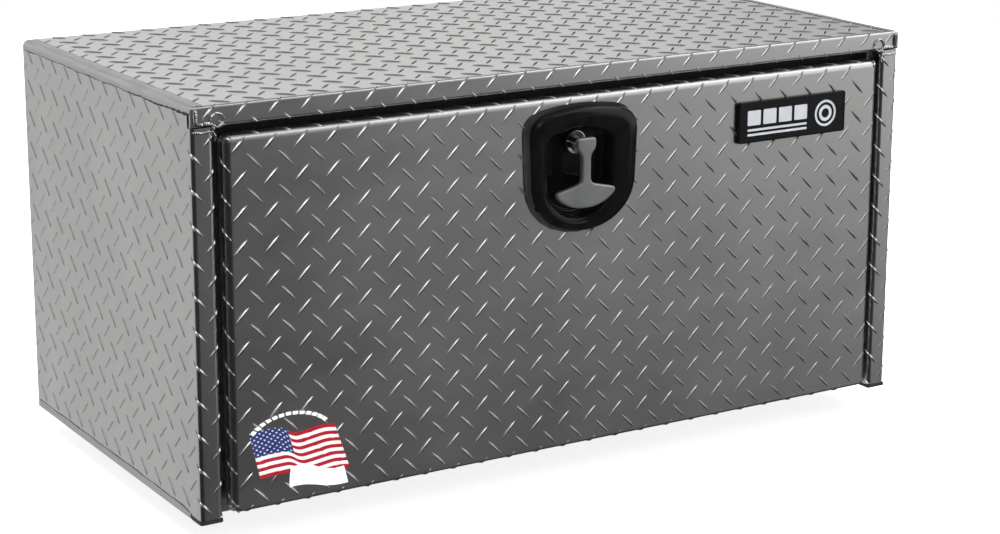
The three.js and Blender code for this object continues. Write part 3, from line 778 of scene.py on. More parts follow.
def back_panel():
    """Flat tread plate, lugs outwards."""
    low, high = reach("back_panel")
    shape = carved(box(low, high), ease=EDGE_EASE)

    def onto(u, v, h):
        return np.column_stack([-u, high[1] + h, v])

    spans = ((low[0] + 3, high[0] - 3), (low[2] + 3, high[2] - 3))
    return shape.join(tread(onto, *spans, (9.0, 14.0)))


WAVES = ((0.031, 1.3), (0.083, 2.1), (0.21, 0.7), (0.47, 0.4))     # rate and share of each


def wander(places, seed, size):
    """A smooth wobble, the same on each run, for hand-made seams."""
    total = sum(part * np.sin(rate * places * (1 + 0.07 * seed) + seed * (3 + i))
                for i, (rate, part) in enumerate(WAVES))
    return size * total / sum(part for _, part in WAVES)


def strip_foot(y):
    """Height of the ground strip's lower edge, which rises towards the front."""
    return HEIGHT - SEAM_SIDE + wander(y, 1, 0.9) + 2.5 * np.exp(-(y - FRONT) / 60)


def strip_inner(y):
    return -HALF + SEAM_TOP + wander(y, 2, 0.5)


def foot_rise(y):
    """Height of the strip along the foot of the side, which sinks towards the front."""
    return SEAM_FOOT + wander(y, 3, 0.7) - 3 * np.exp(-(y - FRAME) / 25)


def seam_strip():
    """Ground strip dressed over the left end of the top, down onto the side."""
    thick, radius = 0.7, CORNER_GRIND + 0.2
    out = -HALF - 0.45
    level = HEIGHT + 0.45
    arc = [(out + radius * (1 - math.cos(a)), level - radius * (1 - math.sin(a)))
           for a in np.linspace(0, math.pi / 2, 7)]
    loops = []
    for y in np.arange(FRONT + 1.5, BACK - 1, 4.0):
        foot, inner = strip_foot(y), strip_inner(y)
        section = [(out, foot), *arc, (inner, level), (inner, level - thick),
                   *[(x + thick * 0.8, z - thick * 0.8) for x, z in arc[::-1]], (out + thick, foot)]
        loops.append(np.array([(x, y, z) for x, z in section]))
    return loft(loops)


def foot_strip():
    """Strip of the floor's edge turned up and dressed against the side."""
    loops = []
    for y in np.arange(FRAME + 2, BACK - 1, 4.0):
        rise = foot_rise(y)
        section = ((-0.75, 1.2), (-0.9, 2.4), (-0.8, rise - 0.6), (-0.3, rise), (0.4, rise), (0.4, 0.8))
        loops.append(np.array([(x - HALF, y, z) for x, z in section]))
    return loft(loops)


def tube(path, radii):
    """A closed round bead along a path, with its own radius at each point."""
    path = np.asarray(path, float)
    ahead = np.gradient(path, axis=0)
    ahead /= np.linalg.norm(ahead, axis=1)[:, None]
    loops = []
    across = np.cross(ahead[0], (0.31, 0.83, 0.46))
    for place, way, radius in zip(path, ahead, radii):
        across = across - way * (across @ way)
        across /= np.linalg.norm(across)
        other = np.cross(way, across)
        angles = np.linspace(0, 2 * math.pi, 10, endpoint=False)[:, None]
        loops.append(place + radius * (np.cos(angles) * across + np.sin(angles) * other))
    return loft(loops)


def resampled(path, step):
    """Points spread evenly along a path, and how far along it they lie."""
    path = np.asarray(path, float)
    lengths = np.concatenate([[0], np.cumsum(np.linalg.norm(np.diff(path, axis=0), axis=1))])
    places = np.linspace(0, lengths[-1], max(6, int(lengths[-1] / step)))
    return np.stack([np.interp(places, lengths, path[:, i]) for i in range(3)], 1), places


def weld_bead(path, radius, seed, ripple=2.3):
    """A weld: overlapping ripples, a little uneven, tapered at both ends."""
    path, places = resampled(path, 0.45)
    share = places / places[-1]
    taper = np.clip(np.minimum(share, 1 - share) * places[-1] / radius, 0.05, 1) ** 0.5
    scallop = 1 + 0.13 * np.abs(np.sin(math.pi * places / ripple)) + wander(places * 6, seed, 0.16)
    sideways, upwards = wander(places * 4, seed + 1, 0.5), wander(places * 4, seed + 2, 0.4)
    path = path + np.stack([sideways, places * 0, upwards], 1)
    return tube(path, radius * scallop * taper)


def corner_welds():
    """Welds that close the left corner between the lip, the side and the post."""
    def spot(x, drop, out=0.4):
        return (-HALF + x, FRONT - out, HEIGHT - drop)

    ring = [spot(29 + 7.4 * math.cos(a), 15.4 + 6.6 * math.sin(a), 0.5)
            for a in np.linspace(0.4, 2 * math.pi + 0.1, 40)]
    return weld_bead([spot(4.5, 2.5), spot(5.5, 9), spot(5, 18.5)], 2.2, 1).join(
        weld_bead([spot(8, 19), spot(16, 18.4), spot(25, 19.5)], 1.9, 2),
        weld_bead(ring, 1.25, 3, ripple=3.1),
        weld_bead([spot(1, 26, 0.2), spot(12, 27.5, 0.2), spot(24, 26.5, 0.2), spot(26.3, 31, 0.6),
                   spot(25.6, 37, 0.8)], 1.2, 4),
        weld_bead([spot(22, 24, 0.2), spot(27, 22.5, 0.2)], 2.0, 5))


def painted_seam_shadow():
    """Painted shadow: a dark line under the ground strip, wider towards the front, one over the foot strip,
    and one along the strip's inner edge on the top.
    """
    y = np.arange(FRONT + 4, BACK - 4, 2.0)
    radii = 0.5 + 1.7 * np.exp(-(y - FRONT) / 75) * (0.7 + 0.3 * np.sin(y * 0.45)) + wander(y, 4, 0.2)
    under = np.stack([y * 0 - HALF - 0.1, y, strip_foot(y) - 0.3 + wander(y * 5, 8, 0.5)], 1)
    inner = np.stack([strip_inner(y) + 0.25, y, y * 0 + HEIGHT + 0.1], 1)
    low_y = np.arange(FRAME + 8, BACK - 4, 2.0)
    over_foot = np.stack([low_y * 0 - HALF - 0.05, low_y, foot_rise(low_y) + 0.4], 1)
    return tube(under, radii).join(tube(over_foot, 0.38 + wander(low_y, 5, 0.22)),
                                   tube(inner, 0.42 + wander(y, 6, 0.1)))


def post_cap(node):
    """Moulded foot cap with rounded edges, and its plug up inside the post."""
    low, high = reach(node)
    top, loops = CAP_HEIGHT, []
    for inset, z in ((1.4, 0), (0.4, 0.4), (0, 1.2), (0, top - 0.9), (0.25, top - 0.3), (0.8, top)):
        flat = rounded_loop((low[0] + inset, high[0] - inset), (low[1] + inset, high[1] - inset),
                            3.2 - inset, 0)
        loops.append(np.stack([flat[:, 0], flat[:, 2], np.full(len(flat), z)], 1))
    left_gap, right_gap = (4.6, 4.2) if low[0] < 0 else (4.2, 4.6)
    plug = box((low[0] + left_gap, low[1] + 4.6, top - 1), (high[0] - right_gap, high[1] - 4.8, high[2]))
    return loft(loops).join(plug)


def door_seal():
    """Hollow-looking bulb seal: a round bead on a flat foot, run round the opening."""
    middle_x = (seal_high[0] + OPENING + 1) / 2
    z = (seal_low[2] + 5, (seal_high[2] + HEADER + 0.5) / 2)
    front_y, back_y, half = seal_low[1], seal_high[1], 4.6
    section = [(-half, back_y), (-half, back_y - 1.4), (-half * 0.75, back_y - 2.0)]
    section += [(-half * 0.78 * math.cos(a), front_y + 3.4 - 3.4 * math.sin(a))
                for a in np.linspace(0.1, math.pi - 0.1, 12)]
    section += [(half * 0.75, back_y - 2.0), (half, back_y - 1.4), (half, back_y)]
    loops = []
    for offset, y in section:
        loops.append(rounded_loop((-middle_x - offset, middle_x + offset),
                                  (z[0] - offset, z[1] + offset), 8 + offset, y, steps=10))
    # the skirt's black rubber paints the shade in the gap round the door
    return loft(loops, closed=True).join(gap_shade_skirt())


def gap_shade_skirt():
    """Flat edge of seal rubber over the frame at the top and the sides of the opening; its black also serves
    as painted shade for the gap round the door.
    """
    x, top, y = -door_low[0] + 4, POST_TOP - 0.4, FRAME - 0.4
    outer = box((-x, y - 1.3, SILL + 1), (x, y, top))
    inner = box((-OPENING - 8, y - 2, SILL), (OPENING + 8, y + 1, seal_high[2] - 1.5))
    return carved(outer, (inner,), ease=0.3)


for side in ("left", "right"):
    parts = [
        ("side_panel_tread", side_panel(), side_tread, "side_panel"),
        ("seam_strip", seam_strip().join(foot_strip()), ground, None),
        ("corner_welds", corner_welds(), weld, None),
        # the dark seam lines are painted shadow
        ("painted_seam_shadow", painted_seam_shadow(), shadow_paint, None),
    ]
    for name, shape, finish, node in parts:
        piece(f"{side}_{name}", shape if side == "left" else shape.mirrored(), "cabinet", finish,
              "tread_aluminium", *([f"{side}_{node}"] if node else []))
    cap = f"{side}_post_cap"
    piece(f"{cap}_moulded", post_cap(cap), "cabinet", matt_black, "black_plastic", cap)
piece("top_panel_tread", top_panel(), "cabinet", top_tread, "tread_aluminium", "top_panel")
piece("bottom_panel_sheet", bottom_panel(), "cabinet", inside_sheet, "tread_aluminium", "bottom_panel")
piece("back_panel_tread", back_panel(), "cabinet", front_tread, "tread_aluminium", "back_panel")
piece("door_seal_bulb", door_seal(), "cabinet", rubber, "rubber", "door_seal")


# ---------- door ----------
def door_loop(inset, y, foot=None):
    """Outline of the door at depth y, moved in by `inset`, and by `foot` at the bottom."""
    foot = inset if foot is None else foot
    radius = max(DOOR_CORNER - max(inset, foot), 1.2)
    return rounded_loop((door_low[0] + inset, door_high[0] - inset),
                        (door_low[2] + foot, door_high[2] - inset), radius, y)


def fold_inset(radius, depth):
    """How far a fold's surface lies inside the edge, at a depth behind its face."""
    short = max(radius - depth, 0)
    return radius - math.sqrt(radius ** 2 - short ** 2)


def door_tray():
    """The door's skin: face, edges turned back all round, and lips turned in behind."""
    face, back = door_low[1], door_high[1]
    bends = np.linspace(0, math.pi / 2, 8)
    inner_bend, rear = DOOR_BEND - SHEET, DOOR_REAR_BEND
    lip_x, lip_z = (-DOOR_LIP[0], DOOR_LIP[0]), (DOOR_LIP[1], DOOR_LIP[2])
    loops = []
    for depth in DOOR_BEND * (1 - np.cos(bends)):
        loops.append(door_loop(fold_inset(DOOR_BEND, depth), face + depth,
                               fold_inset(DOOR_FOOT_BEND, depth)))
    loops += [door_loop(rear * (1 - math.cos(a)), back - rear + rear * math.sin(a)) for a in bends]
    loops += [rounded_loop(lip_x, lip_z, 5, y) for y in (back, back - SHEET)]
    loops += [door_loop(rear, back - SHEET), door_loop(SHEET, back - rear)]
    inner_foot = DOOR_FOOT_BEND - SHEET
    for depth in inner_bend * (1 - np.cos(bends[::-1])):
        loops.append(door_loop(SHEET + fold_inset(inner_bend, depth), face + SHEET + depth,
                               SHEET + fold_inset(inner_foot, depth)))
    return loft(loops)


def turned_back(excess, height, radius):
    """How far out and how far back a point lies, past the start of one of the door's folds."""
    angle = np.clip(excess / radius, 0, math.pi / 2)
    out = np.where(excess < 0, excess, (radius + height) * np.sin(angle))
    behind = radius - (radius + height) * np.cos(angle)
    return out, behind + np.maximum(excess - radius * math.pi / 2, 0)


def onto_door(u, v, height):
    """Carries the flat tread pattern over the door's face and round its edges."""
    bend_x = door_high[0] - DOOR_BEND
    bend_low, bend_high = door_low[2] + DOOR_FOOT_BEND, door_high[2] - DOOR_BEND
    out_x, back_x = turned_back(np.abs(u) - bend_x, height, DOOR_BEND)
    out_top, back_top = turned_back(v - bend_high, height, DOOR_BEND)
    out_foot, back_foot = turned_back(bend_low - v, height, DOOR_FOOT_BEND)
    x = np.where(np.abs(u) > bend_x, np.sign(u) * (bend_x + out_x), u)
    z = np.where(v > bend_high, bend_high + out_top,
                 np.where(v < bend_low, bend_low - out_foot, v))
    back = np.where(np.abs(u) > bend_x, back_x, np.where(v < bend_low, back_foot, back_top))
    return np.column_stack([x, door_low[1] + back, z])


def shows_on_door(u, v):
    """False for lugs over the pan's opening and for those at the door's cut corners."""
    over_pan = abs(u) < 57 and PAN_Z - 62 < v < PAN_Z + 60
    beside = abs(u) > door_high[0] - CORNER_CUT
    beyond = v > door_high[2] - CORNER_CUT or v < door_low[2] + CORNER_CUT
    return not (over_pan or beside and beyond)


def pan_outline(half_width, top, bottom, corner):
    """Outline of the pan: arched top, round corners, tapering sides, elliptical foot."""
    arch, foot = 4.0, half_width * 0.97
    shoulder = top - arch
    hip = (top + bottom) / 2 - 0.08 * (top - bottom)
    flat = half_width - corner
    left = [
        bezier((0, top), (-flat / 3, top), (-flat * 2 / 3, shoulder + arch * 0.55), (-flat, shoulder), 14),
        bezier((-flat, shoulder), (-flat - corner * 0.6, shoulder - corner * 0.08),
               (-half_width, shoulder - corner * 0.4), (-half_width, shoulder - corner), 14),
        line((-half_width, shoulder - corner), (-foot, hip), 8),
        bezier((-foot, hip), (-foot, hip + (bottom - hip) * 0.6), (-foot * 0.56, bottom), (0, bottom), 24),
    ]
    left = np.concatenate(left)
    right = left[1:][::-1] * (-1, 1)
    return np.concatenate([left, [(0, bottom)], right])


def rim(inset):
    """The pan's outer edge, moved in."""
    outline = pan_outline(PAN_HALF_WIDTH - inset, PAN_TOP - inset, PAN_BOTTOM + inset, 26 - inset / 2)
    return outline + (PAN_SHIFT, 0)


def recess(spread):
    """The pan's recess, moved out."""
    return pan_outline(RECESS_HALF_WIDTH + spread, RECESS_TOP + spread, RECESS_BOTTOM - spread, 16)


def handle_pan():
    """Gloss moulded pan: broad crowned rim that rolls into a deep recess."""
    back, crest, floor = FRONT - 6.6, pan_low[1], PAN_FLOOR
    edge = ((0, 0), (0, 2.2), (0.5, 4.4), (1.7, 6.3), (3.6, 7.6), (6.2, 8.4))
    outer = [upright(rim(inset), back - rise) for inset, rise in edge]
    start, end = rim(8.5), recess(5.0)
    fall = ((0, 0), (0.3, 0), (0.6, 0.35), (0.85, 0.9), (1, 1.5))
    crown = [upright(start * (1 - share) + end * share, crest + drop) for share, drop in fall]
    roll = [upright(recess(5.0 * (1 - math.sin(a))), crest + 1.5 + 5.5 * (1 - math.cos(a)))
            for a in np.linspace(0.2, math.pi / 2, 7)]
    fillet = 5.0
    wall = [upright(recess(-fillet * (1 - math.cos(a)) - 0.8), floor - fillet + fillet * math.sin(a))
            for a in np.linspace(0, math.pi / 2, 7)]
    tub = [upright(recess(PAN_WALL), back), upright(recess(PAN_WALL), floor + 0.5),
           upright(recess(PAN_WALL - 2), floor + PAN_WALL)]
    bore = lathe([(10.3, -10), (10.3, 20)], (0, floor, HUB_Z))
    shape = carved(loft([*tub[::-1], *outer, *crown, *roll, *wall]).lifted(PAN_Z), (bore,))
    for x, z in STUDS:
        ribs = [(STUD_RADIUS - 0.25 * (k % 2), back - 1 + 0.8 * k) for k in range(19)]
        shape.join(lathe(ribs, (x, 0, PAN_Z + z), steps=16))
    return shape


def door_skin():
    """The door's tray with lugs, and holes for the pan and its studs."""
    hole = loft([upright(recess(PAN_WALL + 1.2), y) for y in (door_low[1] - 1, FRONT)]).lifted(PAN_Z)
    bore = [(STUD_RADIUS + 0.5, -8), (STUD_RADIUS + 0.5, 0)]
    stud_holes = [lathe(bore, (x, FRONT, PAN_Z + z), steps=16) for x, z in STUDS]
    shape = carved(door_tray(), (hole, *stud_holes), ease=0.3)
    depth = door_high[1] - DOOR_REAR_BEND - door_low[1]
    wrap = depth - DOOR_BEND * (2 - math.pi / 2)
    foot_wrap = depth - DOOR_FOOT_BEND * (2 - math.pi / 2)
    u_span = (door_low[0] - wrap, door_high[0] + wrap)
    v_span = (door_low[2] - foot_wrap, door_high[2] + wrap)
    return shape.join(tread(onto_door, u_span, v_span, DOOR_PHASE, PITCH, shows_on_door))


def stiffener():
    """Hat-section stiffener up the inside of the door."""
    low, high = reach("left_door_stiffener")
    middle, crown, thick = (low[0] + high[0]) / 2, 16.0, 2.0
    half, y0, y1 = (high[0] - low[0]) / 2, low[1], high[1]
    outer = [(half, y0 + thick), (crown + 2, y0 + thick), (crown + 0.4, y0 + thick + 1),
             (crown, y1 - 3), (crown - 0.8, y1 - 0.9), (crown - 3, y1)]
    inner = [(half, y0), (crown, y0), (crown - 1.6, y0 + 1), (crown - thick, y1 - 3.4),
             (crown - 3.4, y1 - thick)]
    outline = [(-x, y) for x, y in outer] + outer[::-1] + inner + [(-x, y) for x, y in inner[::-1]]
    loops = [np.array([(middle + x, y, z) for x, y in outline]) for z in (low[2], high[2])]
    shape = carved(loft(loops), ease=0.2)
    for x in (-24.0, 24.0):
        for z in np.linspace(low[2] + 18, high[2] - 18, 8):
            shape.join(rivet((middle + x, y0 + thick, z)))
    return shape


def rivet(place, radius=3.0, rise=1.3, way=1):
    """A domed rivet head that stands off a face along y."""
    profile = [(radius, -0.4 * way), (radius, 0.15 * way)]
    profile += [(radius * math.cos(a), way * (0.15 + (rise - 0.15) * math.sin(a)))
                for a in np.linspace(0.25, 1.5, 5)]
    return lathe(profile, place, steps=18)


def nameplate():
    """Black plate with an eased edge and a narrow raised border."""
    (x0, y, z0), (x1, back, z1) = plate_low, plate_high
    steps = ((0, back), (0, y + 0.9), (0.25, y + 0.3), (0.8, y), (2.2, y), (2.5, y + 0.45))
    return loft([rounded_loop((x0 + inset, x1 - inset), (z0 + inset, z1 - inset),
                              max(3.2 - inset, 0.9), depth) for inset, depth in steps])


def nameplate_marks():
    """Plain printed blocks, rules and a ring, in place of any lettering or badge."""
    low, (width, _, height) = plate_low, plate_high - plate_low
    y = low[1] + 0.45

    def bar(x0, x1, z0, z1):
        flat = rounded_loop((low[0] + x0 * width, low[0] + x1 * width),
                            (low[2] + z0 * height, low[2] + z1 * height), 1.2, 0)
        return loft([flat + (0, y + 0.1, 0), flat + (0, y - 0.22, 0)])

    shape = Shape()
    for start in (0.08, 0.225, 0.37, 0.515):
        shape.join(bar(start, start + 0.12, 0.42, 0.78))
    shape.join(bar(0.08, 0.635, 0.28, 0.335), bar(0.08, 0.635, 0.165, 0.22))
    centre = (low[0] + 0.81 * width, 0, low[2] + 0.5 * height)
    for outer, inner in ((15.5, 12.8), (9.4, 5.6)):
        shape.join(lathe([(outer, y + 0.1), (outer, y - 0.22), (inner, y - 0.22), (inner, y + 0.1)],
                         centre, steps=48, closed=True))
    return shape


def thin_sheet(top, under):
    """Faces between two grids of points, their own faces and the edge between them."""
    across, down = top.shape[:2]
    count = across * down
    faces = []
    for i in range(across - 1):
        for j in range(down - 1):
            a = i * down + j
            faces.append((a, a + 1, a + down + 1, a + down))
            faces.append(tuple(count + k for k in (a, a + down, a + down + 1, a + 1)))
    edge = [i * down for i in range(across)]
    edge += [(across - 1) * down + j for j in range(1, down)]
    edge += [i * down + down - 1 for i in range(across - 2, -1, -1)]
    edge += range(down - 2, 0, -1)
    for a, b in zip(edge, edge[1:] + edge[:1]):
        faces.append((a, b, count + b, count + a))
    return Shape(np.concatenate([top.reshape(-1, 3), under.reshape(-1, 3)]), faces)


def wave(t):
    """Rise of the banner's two humps, rounded where they meet."""
    places = (0, 0.14, 0.38, 0.50, 0.62, 0.86, 1)
    rises = (0, 0.03, 0.055, -0.055, -0.03, 0.03, 0.02)
    nudges = np.linspace(-0.06, 0.06, 9)
    return np.mean([np.interp(t + nudge, places, rises) for nudge in nudges], axis=0)


def decal_arc(t, radius):
    """A place on an arch over the banner, as shares of the decal's width and height."""
    angle = math.pi * (0.84 - 0.66 * t)
    return 0.40 + radius * np.cos(angle), 0.655 + 0.88 * radius * np.sin(angle)


DASHES = 13


def decal():
    """Vinyl banner that follows the lugs under it. Returns its shape and what is printed on it."""
    low, high = reach("decal")
    width, height = high[0] - low[0], high[2] - low[2]
    shape, prints = Shape(), []

    def patch(lower, upper, across, down, ink):
        """A patch between two curves, which lies higher when it is all ink."""
        t = np.linspace(0, 1, across)[:, None]
        s = np.linspace(0, 1, down)[None, :]
        x = lower(t)[0] * (1 - s) + upper(t)[0] * s
        z = lower(t)[1] * (1 - s) + upper(t)[1] * s
        x, z = np.broadcast_arrays(low[0] + width * x, low[2] + height * z)
        level = lug_level(x, z, DOOR_PHASE, PITCH)
        top = np.stack([x, door_low[1] - 0.25 - 0.3 * ink - level, z], -1)
        under = np.stack([x, door_low[1] + 0.2 + 0 * level, z], -1)
        shape.join(thin_sheet(top, under))
        grid = np.stack(np.broadcast_arrays(t, 1 - s, np.float64(ink)), -1).reshape(-1, 3)
        prints.extend([grid, grid])

    patch(lambda t: (0.10 + 0.89 * t, 0.245 - 0.09 * t + wave(t)),
          lambda t: (0.84 * t, 0.86 - 0.09 * t + wave(t)), 120, 60, 0)
    patch(lambda t: (0.38 + 0.59 * t, 0.07 - 0.09 * t + 0.02 * np.sin(2 * math.pi * t)),
          lambda t: (0.40 + 0.53 * t, 0.33 - 0.12 * t + 0.03 * np.sin(2 * math.pi * t)), 90, 34, 1)
    for dash in range(DASHES):
        start, length = (dash + 0.12) / DASHES, 0.73 / DASHES
        patch(lambda t: decal_arc(start + length * t, 0.405),
              lambda t: decal_arc(start + length * t, 0.45), 8, 7, 1)
    return shape, np.concatenate(prints)


def door_corner_welds():
    """Welds where the door's turned edges meet, one at each corner."""
    shape = Shape()
    half, face = door_high[0], door_low[1]
    for number, (x, z) in enumerate(((-1, 1), (1, 1), (-1, -1), (1, -1))):
        edge = door_high[2] if z > 0 else door_low[2]
        bead = [(x * (half - 8), face + 1.2, edge - z * 8), (x * (half - 4.6), face + 2.2, edge - z * 4.6),
                (x * (half - 2.9), face + 6, edge - z * 2.9), (x * (half - 2.8), face + 14, edge - z * 2.8)]
        shape.join(weld_bead(bead, 2.1, 7 + number))
    return shape


piece("door_corner_welds", door_corner_welds(), "door", weld, "tread_aluminium")
piece("door_skin_tread", door_skin(), "door", front_tread, "tread_aluminium", "door_skin")
for side, made in (("left", stiffener()), ("right", stiffener().mirrored())):
    node = f"{side}_door_stiffener"
    piece(f"{node}_formed", made, "door", steel, "zinc_steel", node)
piece("handle_pan_moulded", handle_pan(), "door", gloss_black, "black_plastic", "handle_pan", crease=40)
piece("nameplate_blank", nameplate(), "door", plate_black, "nameplate_black", "nameplate")
piece("nameplate_marks", nameplate_marks(), "door", plate_ink, "nameplate_black")
decal_shape, decal_print = decal()
decal_obj = piece("decal_banner", decal_shape, "door", decal_finish(), "decal_vinyl", "decal", crease=60)
ink = decal_obj.data.attributes.new("print", "FLOAT_VECTOR", "POINT")
ink.data.foreach_set("vector", decal_print.astype(np.float32).ravel())


# ---------- hinge ----------
def hinge_leaf(node, first, outward):
    """A strip with rivets, and its knuckles rolled round the pin."""
    leaf, bore, ease = 1.5, 2.35, 0.35
    near = HINGE_Y - outward * KNUCKLE_RADIUS
    front, back = sorted((near, near + outward * leaf))
    rivet_y, way = (back, 1) if outward < 0 else (front, -1)
    shape = carved(box((pin_low[0], front, HINGE_Z + KNUCKLE_RADIUS + 0.5),
                       (pin_high[0], back, reach(node)[1][2])), ease=0.3)
    pitch = (pin_high[0] - pin_low[0]) / KNUCKLES
    for i in range(first, KNUCKLES, 2):
        start, end = pin_low[0] + i * pitch + GAP, pin_low[0] + (i + 1) * pitch - GAP
        knuckle = [(bore, start), (KNUCKLE_RADIUS - 0.3, start), (KNUCKLE_RADIUS, start + ease),
                   (KNUCKLE_RADIUS, end - ease), (KNUCKLE_RADIUS - 0.3, end), (bore, end)]
        shape.join(
            lathe(knuckle, (0, HINGE_Y, HINGE_Z), axis=0, steps=24, closed=True),
            box((start, front, HINGE_Z), (end, back, HINGE_Z + KNUCKLE_RADIUS + 1)),
            rivet(((start + end) / 2, rivet_y, HINGE_Z + 13.5), 2.4, 0.9, way))
    return shape


for body, first, outward in (("cabinet", 0, -1), ("door", 1, 1)):
    node = f"hinge_{body}_leaf"
    piece(f"{node}_rolled", hinge_leaf(node, first, outward), body, steel, "zinc_steel", node)


# ---------- latch ----------
def cheeks(start, end, tail_y, stations):
    """A pair of flat plates rounded about the fold pin. `stations` are places across and insets."""
    rounded = [(FOLD_Y + ARM_RADIUS * math.sin(a), FOLD_Z + ARM_RADIUS * math.cos(a))
               for a in np.linspace(start, end, 14)]
    outline = np.array([(tail_y, rounded[0][1]), *rounded, (tail_y, rounded[-1][1])])
    shape = Shape()
    for side in (-1, 1):
        shape.join(loft([np.array([(side * x, y, z) for y, z in inset_outline(outline, inset)])
                         for x, inset in stations]))
    return shape


def latch_hub():
    """Collar with a bright rolled edge and a dished face, ears for the handle, and the shaft."""
    face, floor, shaft_end = HUB_FACE, PAN_FLOOR - GAP, reach("latch_hub")[1][1]
    r, shoulder = HUB_RADIUS, FRONT + 27.2
    profile = [(0.01, face + 1.1), (r - 4.2, face + 1.0), (r - 3.1, face + 0.75), (r - 2.5, face + 0.1),
               (r - 1.9, face - 0.15), (r - 0.9, face - 0.15), (r - 0.25, face + 0.15), (r, face + 0.8),
               (r, floor - 0.4), (r - 0.4, floor), (7.0, floor), (7.0, shoulder - 0.3), (6.6, shoulder),
               (4.6, shoulder), (4.6, shaft_end - 0.6), (4.0, shaft_end), (0.01, shaft_end)]
    body = lathe(profile, (0, 0, HUB_Z), steps=64)
    lock_bore = lathe([(4.85, face - 2), (4.85, PAN_FLOOR - 2)], (0, 0, (plug_low[2] + plug_high[2]) / 2))
    ears = cheeks(math.pi, 2 * math.pi, HUB_FACE + 3, ((6.2, 0.35), (6.5, 0), (8.4, 0), (8.7, 0.35)))
    return carved(body, (lock_bore,), ease=0.15).join(ears)


def lock_plug():
    """Lock cylinder with a rounded face and a key slot."""
    face, end, radius = plug_low[1], plug_high[1], (plug_high[0] - plug_low[0]) / 2
    centre_z = (plug_low[2] + plug_high[2]) / 2
    profile = [(0.01, face), (radius - 1.0, face), (radius - 0.35, face + 0.15), (radius, face + 0.6),
               (radius, end), (0.01, end)]
    body = lathe(profile, (0, 0, centre_z), steps=40)
    slot = box((-0.7, face - 1, centre_z - 3), (0.7, face + 4, centre_z + 3))
    ward = box((-1.5, face - 1, centre_z - 0.7), (0.1, face + 4, centre_z + 0.6))
    return carved(body, (slot, ward), ease=0.12)


def t_handle():
    """Broad head, waisted stem and whale-tail grip, with bright eased edges, and its two arms."""
    top, length = handle_high[2], handle_high[2] - handle_low[2]

    def at(x, drop):
        return (x, top - drop)

    right = np.concatenate([
        line(at(0, 0), at(8.5, 0), 4),
        bezier(at(8.5, 0), at(10.6, 0), at(12, 1.4), at(12, 3.5), 8),
        line(at(12, 3.5), at(12, 8), 3),
        bezier(at(12, 8), at(12, 15), at(5.5, 15), at(5.5, 24), 12),
        line(at(5.5, 24), at(5.5, 43), 8),
        bezier(at(5.5, 43), at(5.5, 50), at(9, 51), at(14, 52.4), 10),
        line(at(14, 52.4), at(34, 57), 8),
        bezier(at(34, 57), at(38.4, 58), at(39, 61), at(36.4, 64), 10),
        bezier(at(36.4, 64), at(28, 73.5), at(14, length), at(0, length), 22),
    ])
    left = right[1:][::-1] * (-1, 1)
    outline = np.concatenate([right, [at(0, length)], left])
    front, back, crown = handle_low[1], FRONT - 17.5, 1.5
    steps = [(1.3, back), (0.4, back - 0.3), (0.0, back - 1.1), (0.0, front + 1.6)]
    steps += [(crown * (1 - math.cos(a)), front + 1.6 - crown * math.sin(a))
              for a in np.linspace(0.3, 1.45, 5)]
    steps.append((2.4, front + 0.02))
    shape = loft([upright(inset_outline(outline, inset), y) for inset, y in steps])
    arms = ((9.0, 0.35), (9.35, 0), (11.65, 0), (12.0, 0.35))
    return shape.join(cheeks(0, math.pi, back - 1, arms))


piece("latch_hub_turned", latch_hub(), "latch_hub", polished, "satin_zinc", "latch_hub")
piece("lock_plug_turned", lock_plug(), "lock_plug", steel, "zinc_steel", "lock_plug")
piece("t_handle_cast", t_handle(), "handle", satin, "satin_zinc", "t_handle", crease=40)


# ---------- CAD nodes that stay ----------
def keep_node(name, material, ease):
    """Eases a CAD node's edges with modifiers, and gives it its finish."""
    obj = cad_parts[name]
    obj.data.materials.clear()
    obj.data.materials.append(material)
    weld_points = obj.modifiers.new("weld", "WELD")
    weld_points.merge_threshold = 0.01 * MM
    edges = obj.modifiers.new("ease", "BEVEL")
    edges.width, edges.segments = ease * MM, 2
    edges.limit_method, edges.angle_limit = "ANGLE", math.radians(35)
    normals = obj.modifiers.new("normals", "WEIGHTED_NORMAL")
    normals.keep_sharp = False
    obj.data.shade_smooth()


def both(*parts):
    """The left and right nodes of each part."""
    return [f"{side}_{part}" for part in parts for side in ("left", "right")]


KEPT = (        # finish, width of the eased edges, nodes
    (steel, 0.3, ["top_keeper", "pan_clamp_frame", "cam_plate", "cam_nut", "hinge_pin",
                  *[f"pan_nut_{number}" for number in (1, 2, 3, 4)],
                  *both("rod_keeper", "cabinet_stay_tab", "door_stay_tab", "lock_rod", "fold_pin")]),
    (nylon, 0.4, ["latch_bush", *both("rod_guide", "rod_tip")]),
    (rubber, 0.2, ["pan_gasket"]),
)
for finish, ease, names in KEPT:
    for name in names:
        keep_node(name, finish, ease)


# ---------- studio ----------
FLOOR_RADIUS = 3200
FLOOR_SIDES = 64


def floor():
    """A pale floor that the metal doesn't mirror, just under the door when it hangs open."""
    level = HINGE_Z - (HINGE_Y - pan_low[1]) - 2
    disc = [(FLOOR_RADIUS * math.cos(a), FLOOR_RADIUS * math.sin(a), level)
            for a in np.linspace(0, 2 * math.pi, FLOOR_SIDES, endpoint=False)]
    obj = bpy.data.objects.new("floor", to_mesh("floor", Shape(disc, [range(FLOOR_SIDES)])))
    scene.collection.objects.link(obj)
    pale = Finish("pale_floor", Roughness=0.9, Emission_Color=(1, 1, 1, 1), Emission_Strength=0.8)
    pale.colour(pale.blend(pale.fit(pale.noise(0.8), 0, 1), (0.90, 0.90, 0.90), (0.93, 0.93, 0.93)))
    obj.data.materials.append(pale.material)
    obj.visible_glossy = False


def heading(azimuth, elevation):
    """A direction: azimuth 0 is straight out of the front, and grows to the right."""
    a, e = math.radians(azimuth), math.radians(elevation)
    return (math.sin(a) * math.cos(e), -math.cos(a) * math.cos(e), math.sin(e))


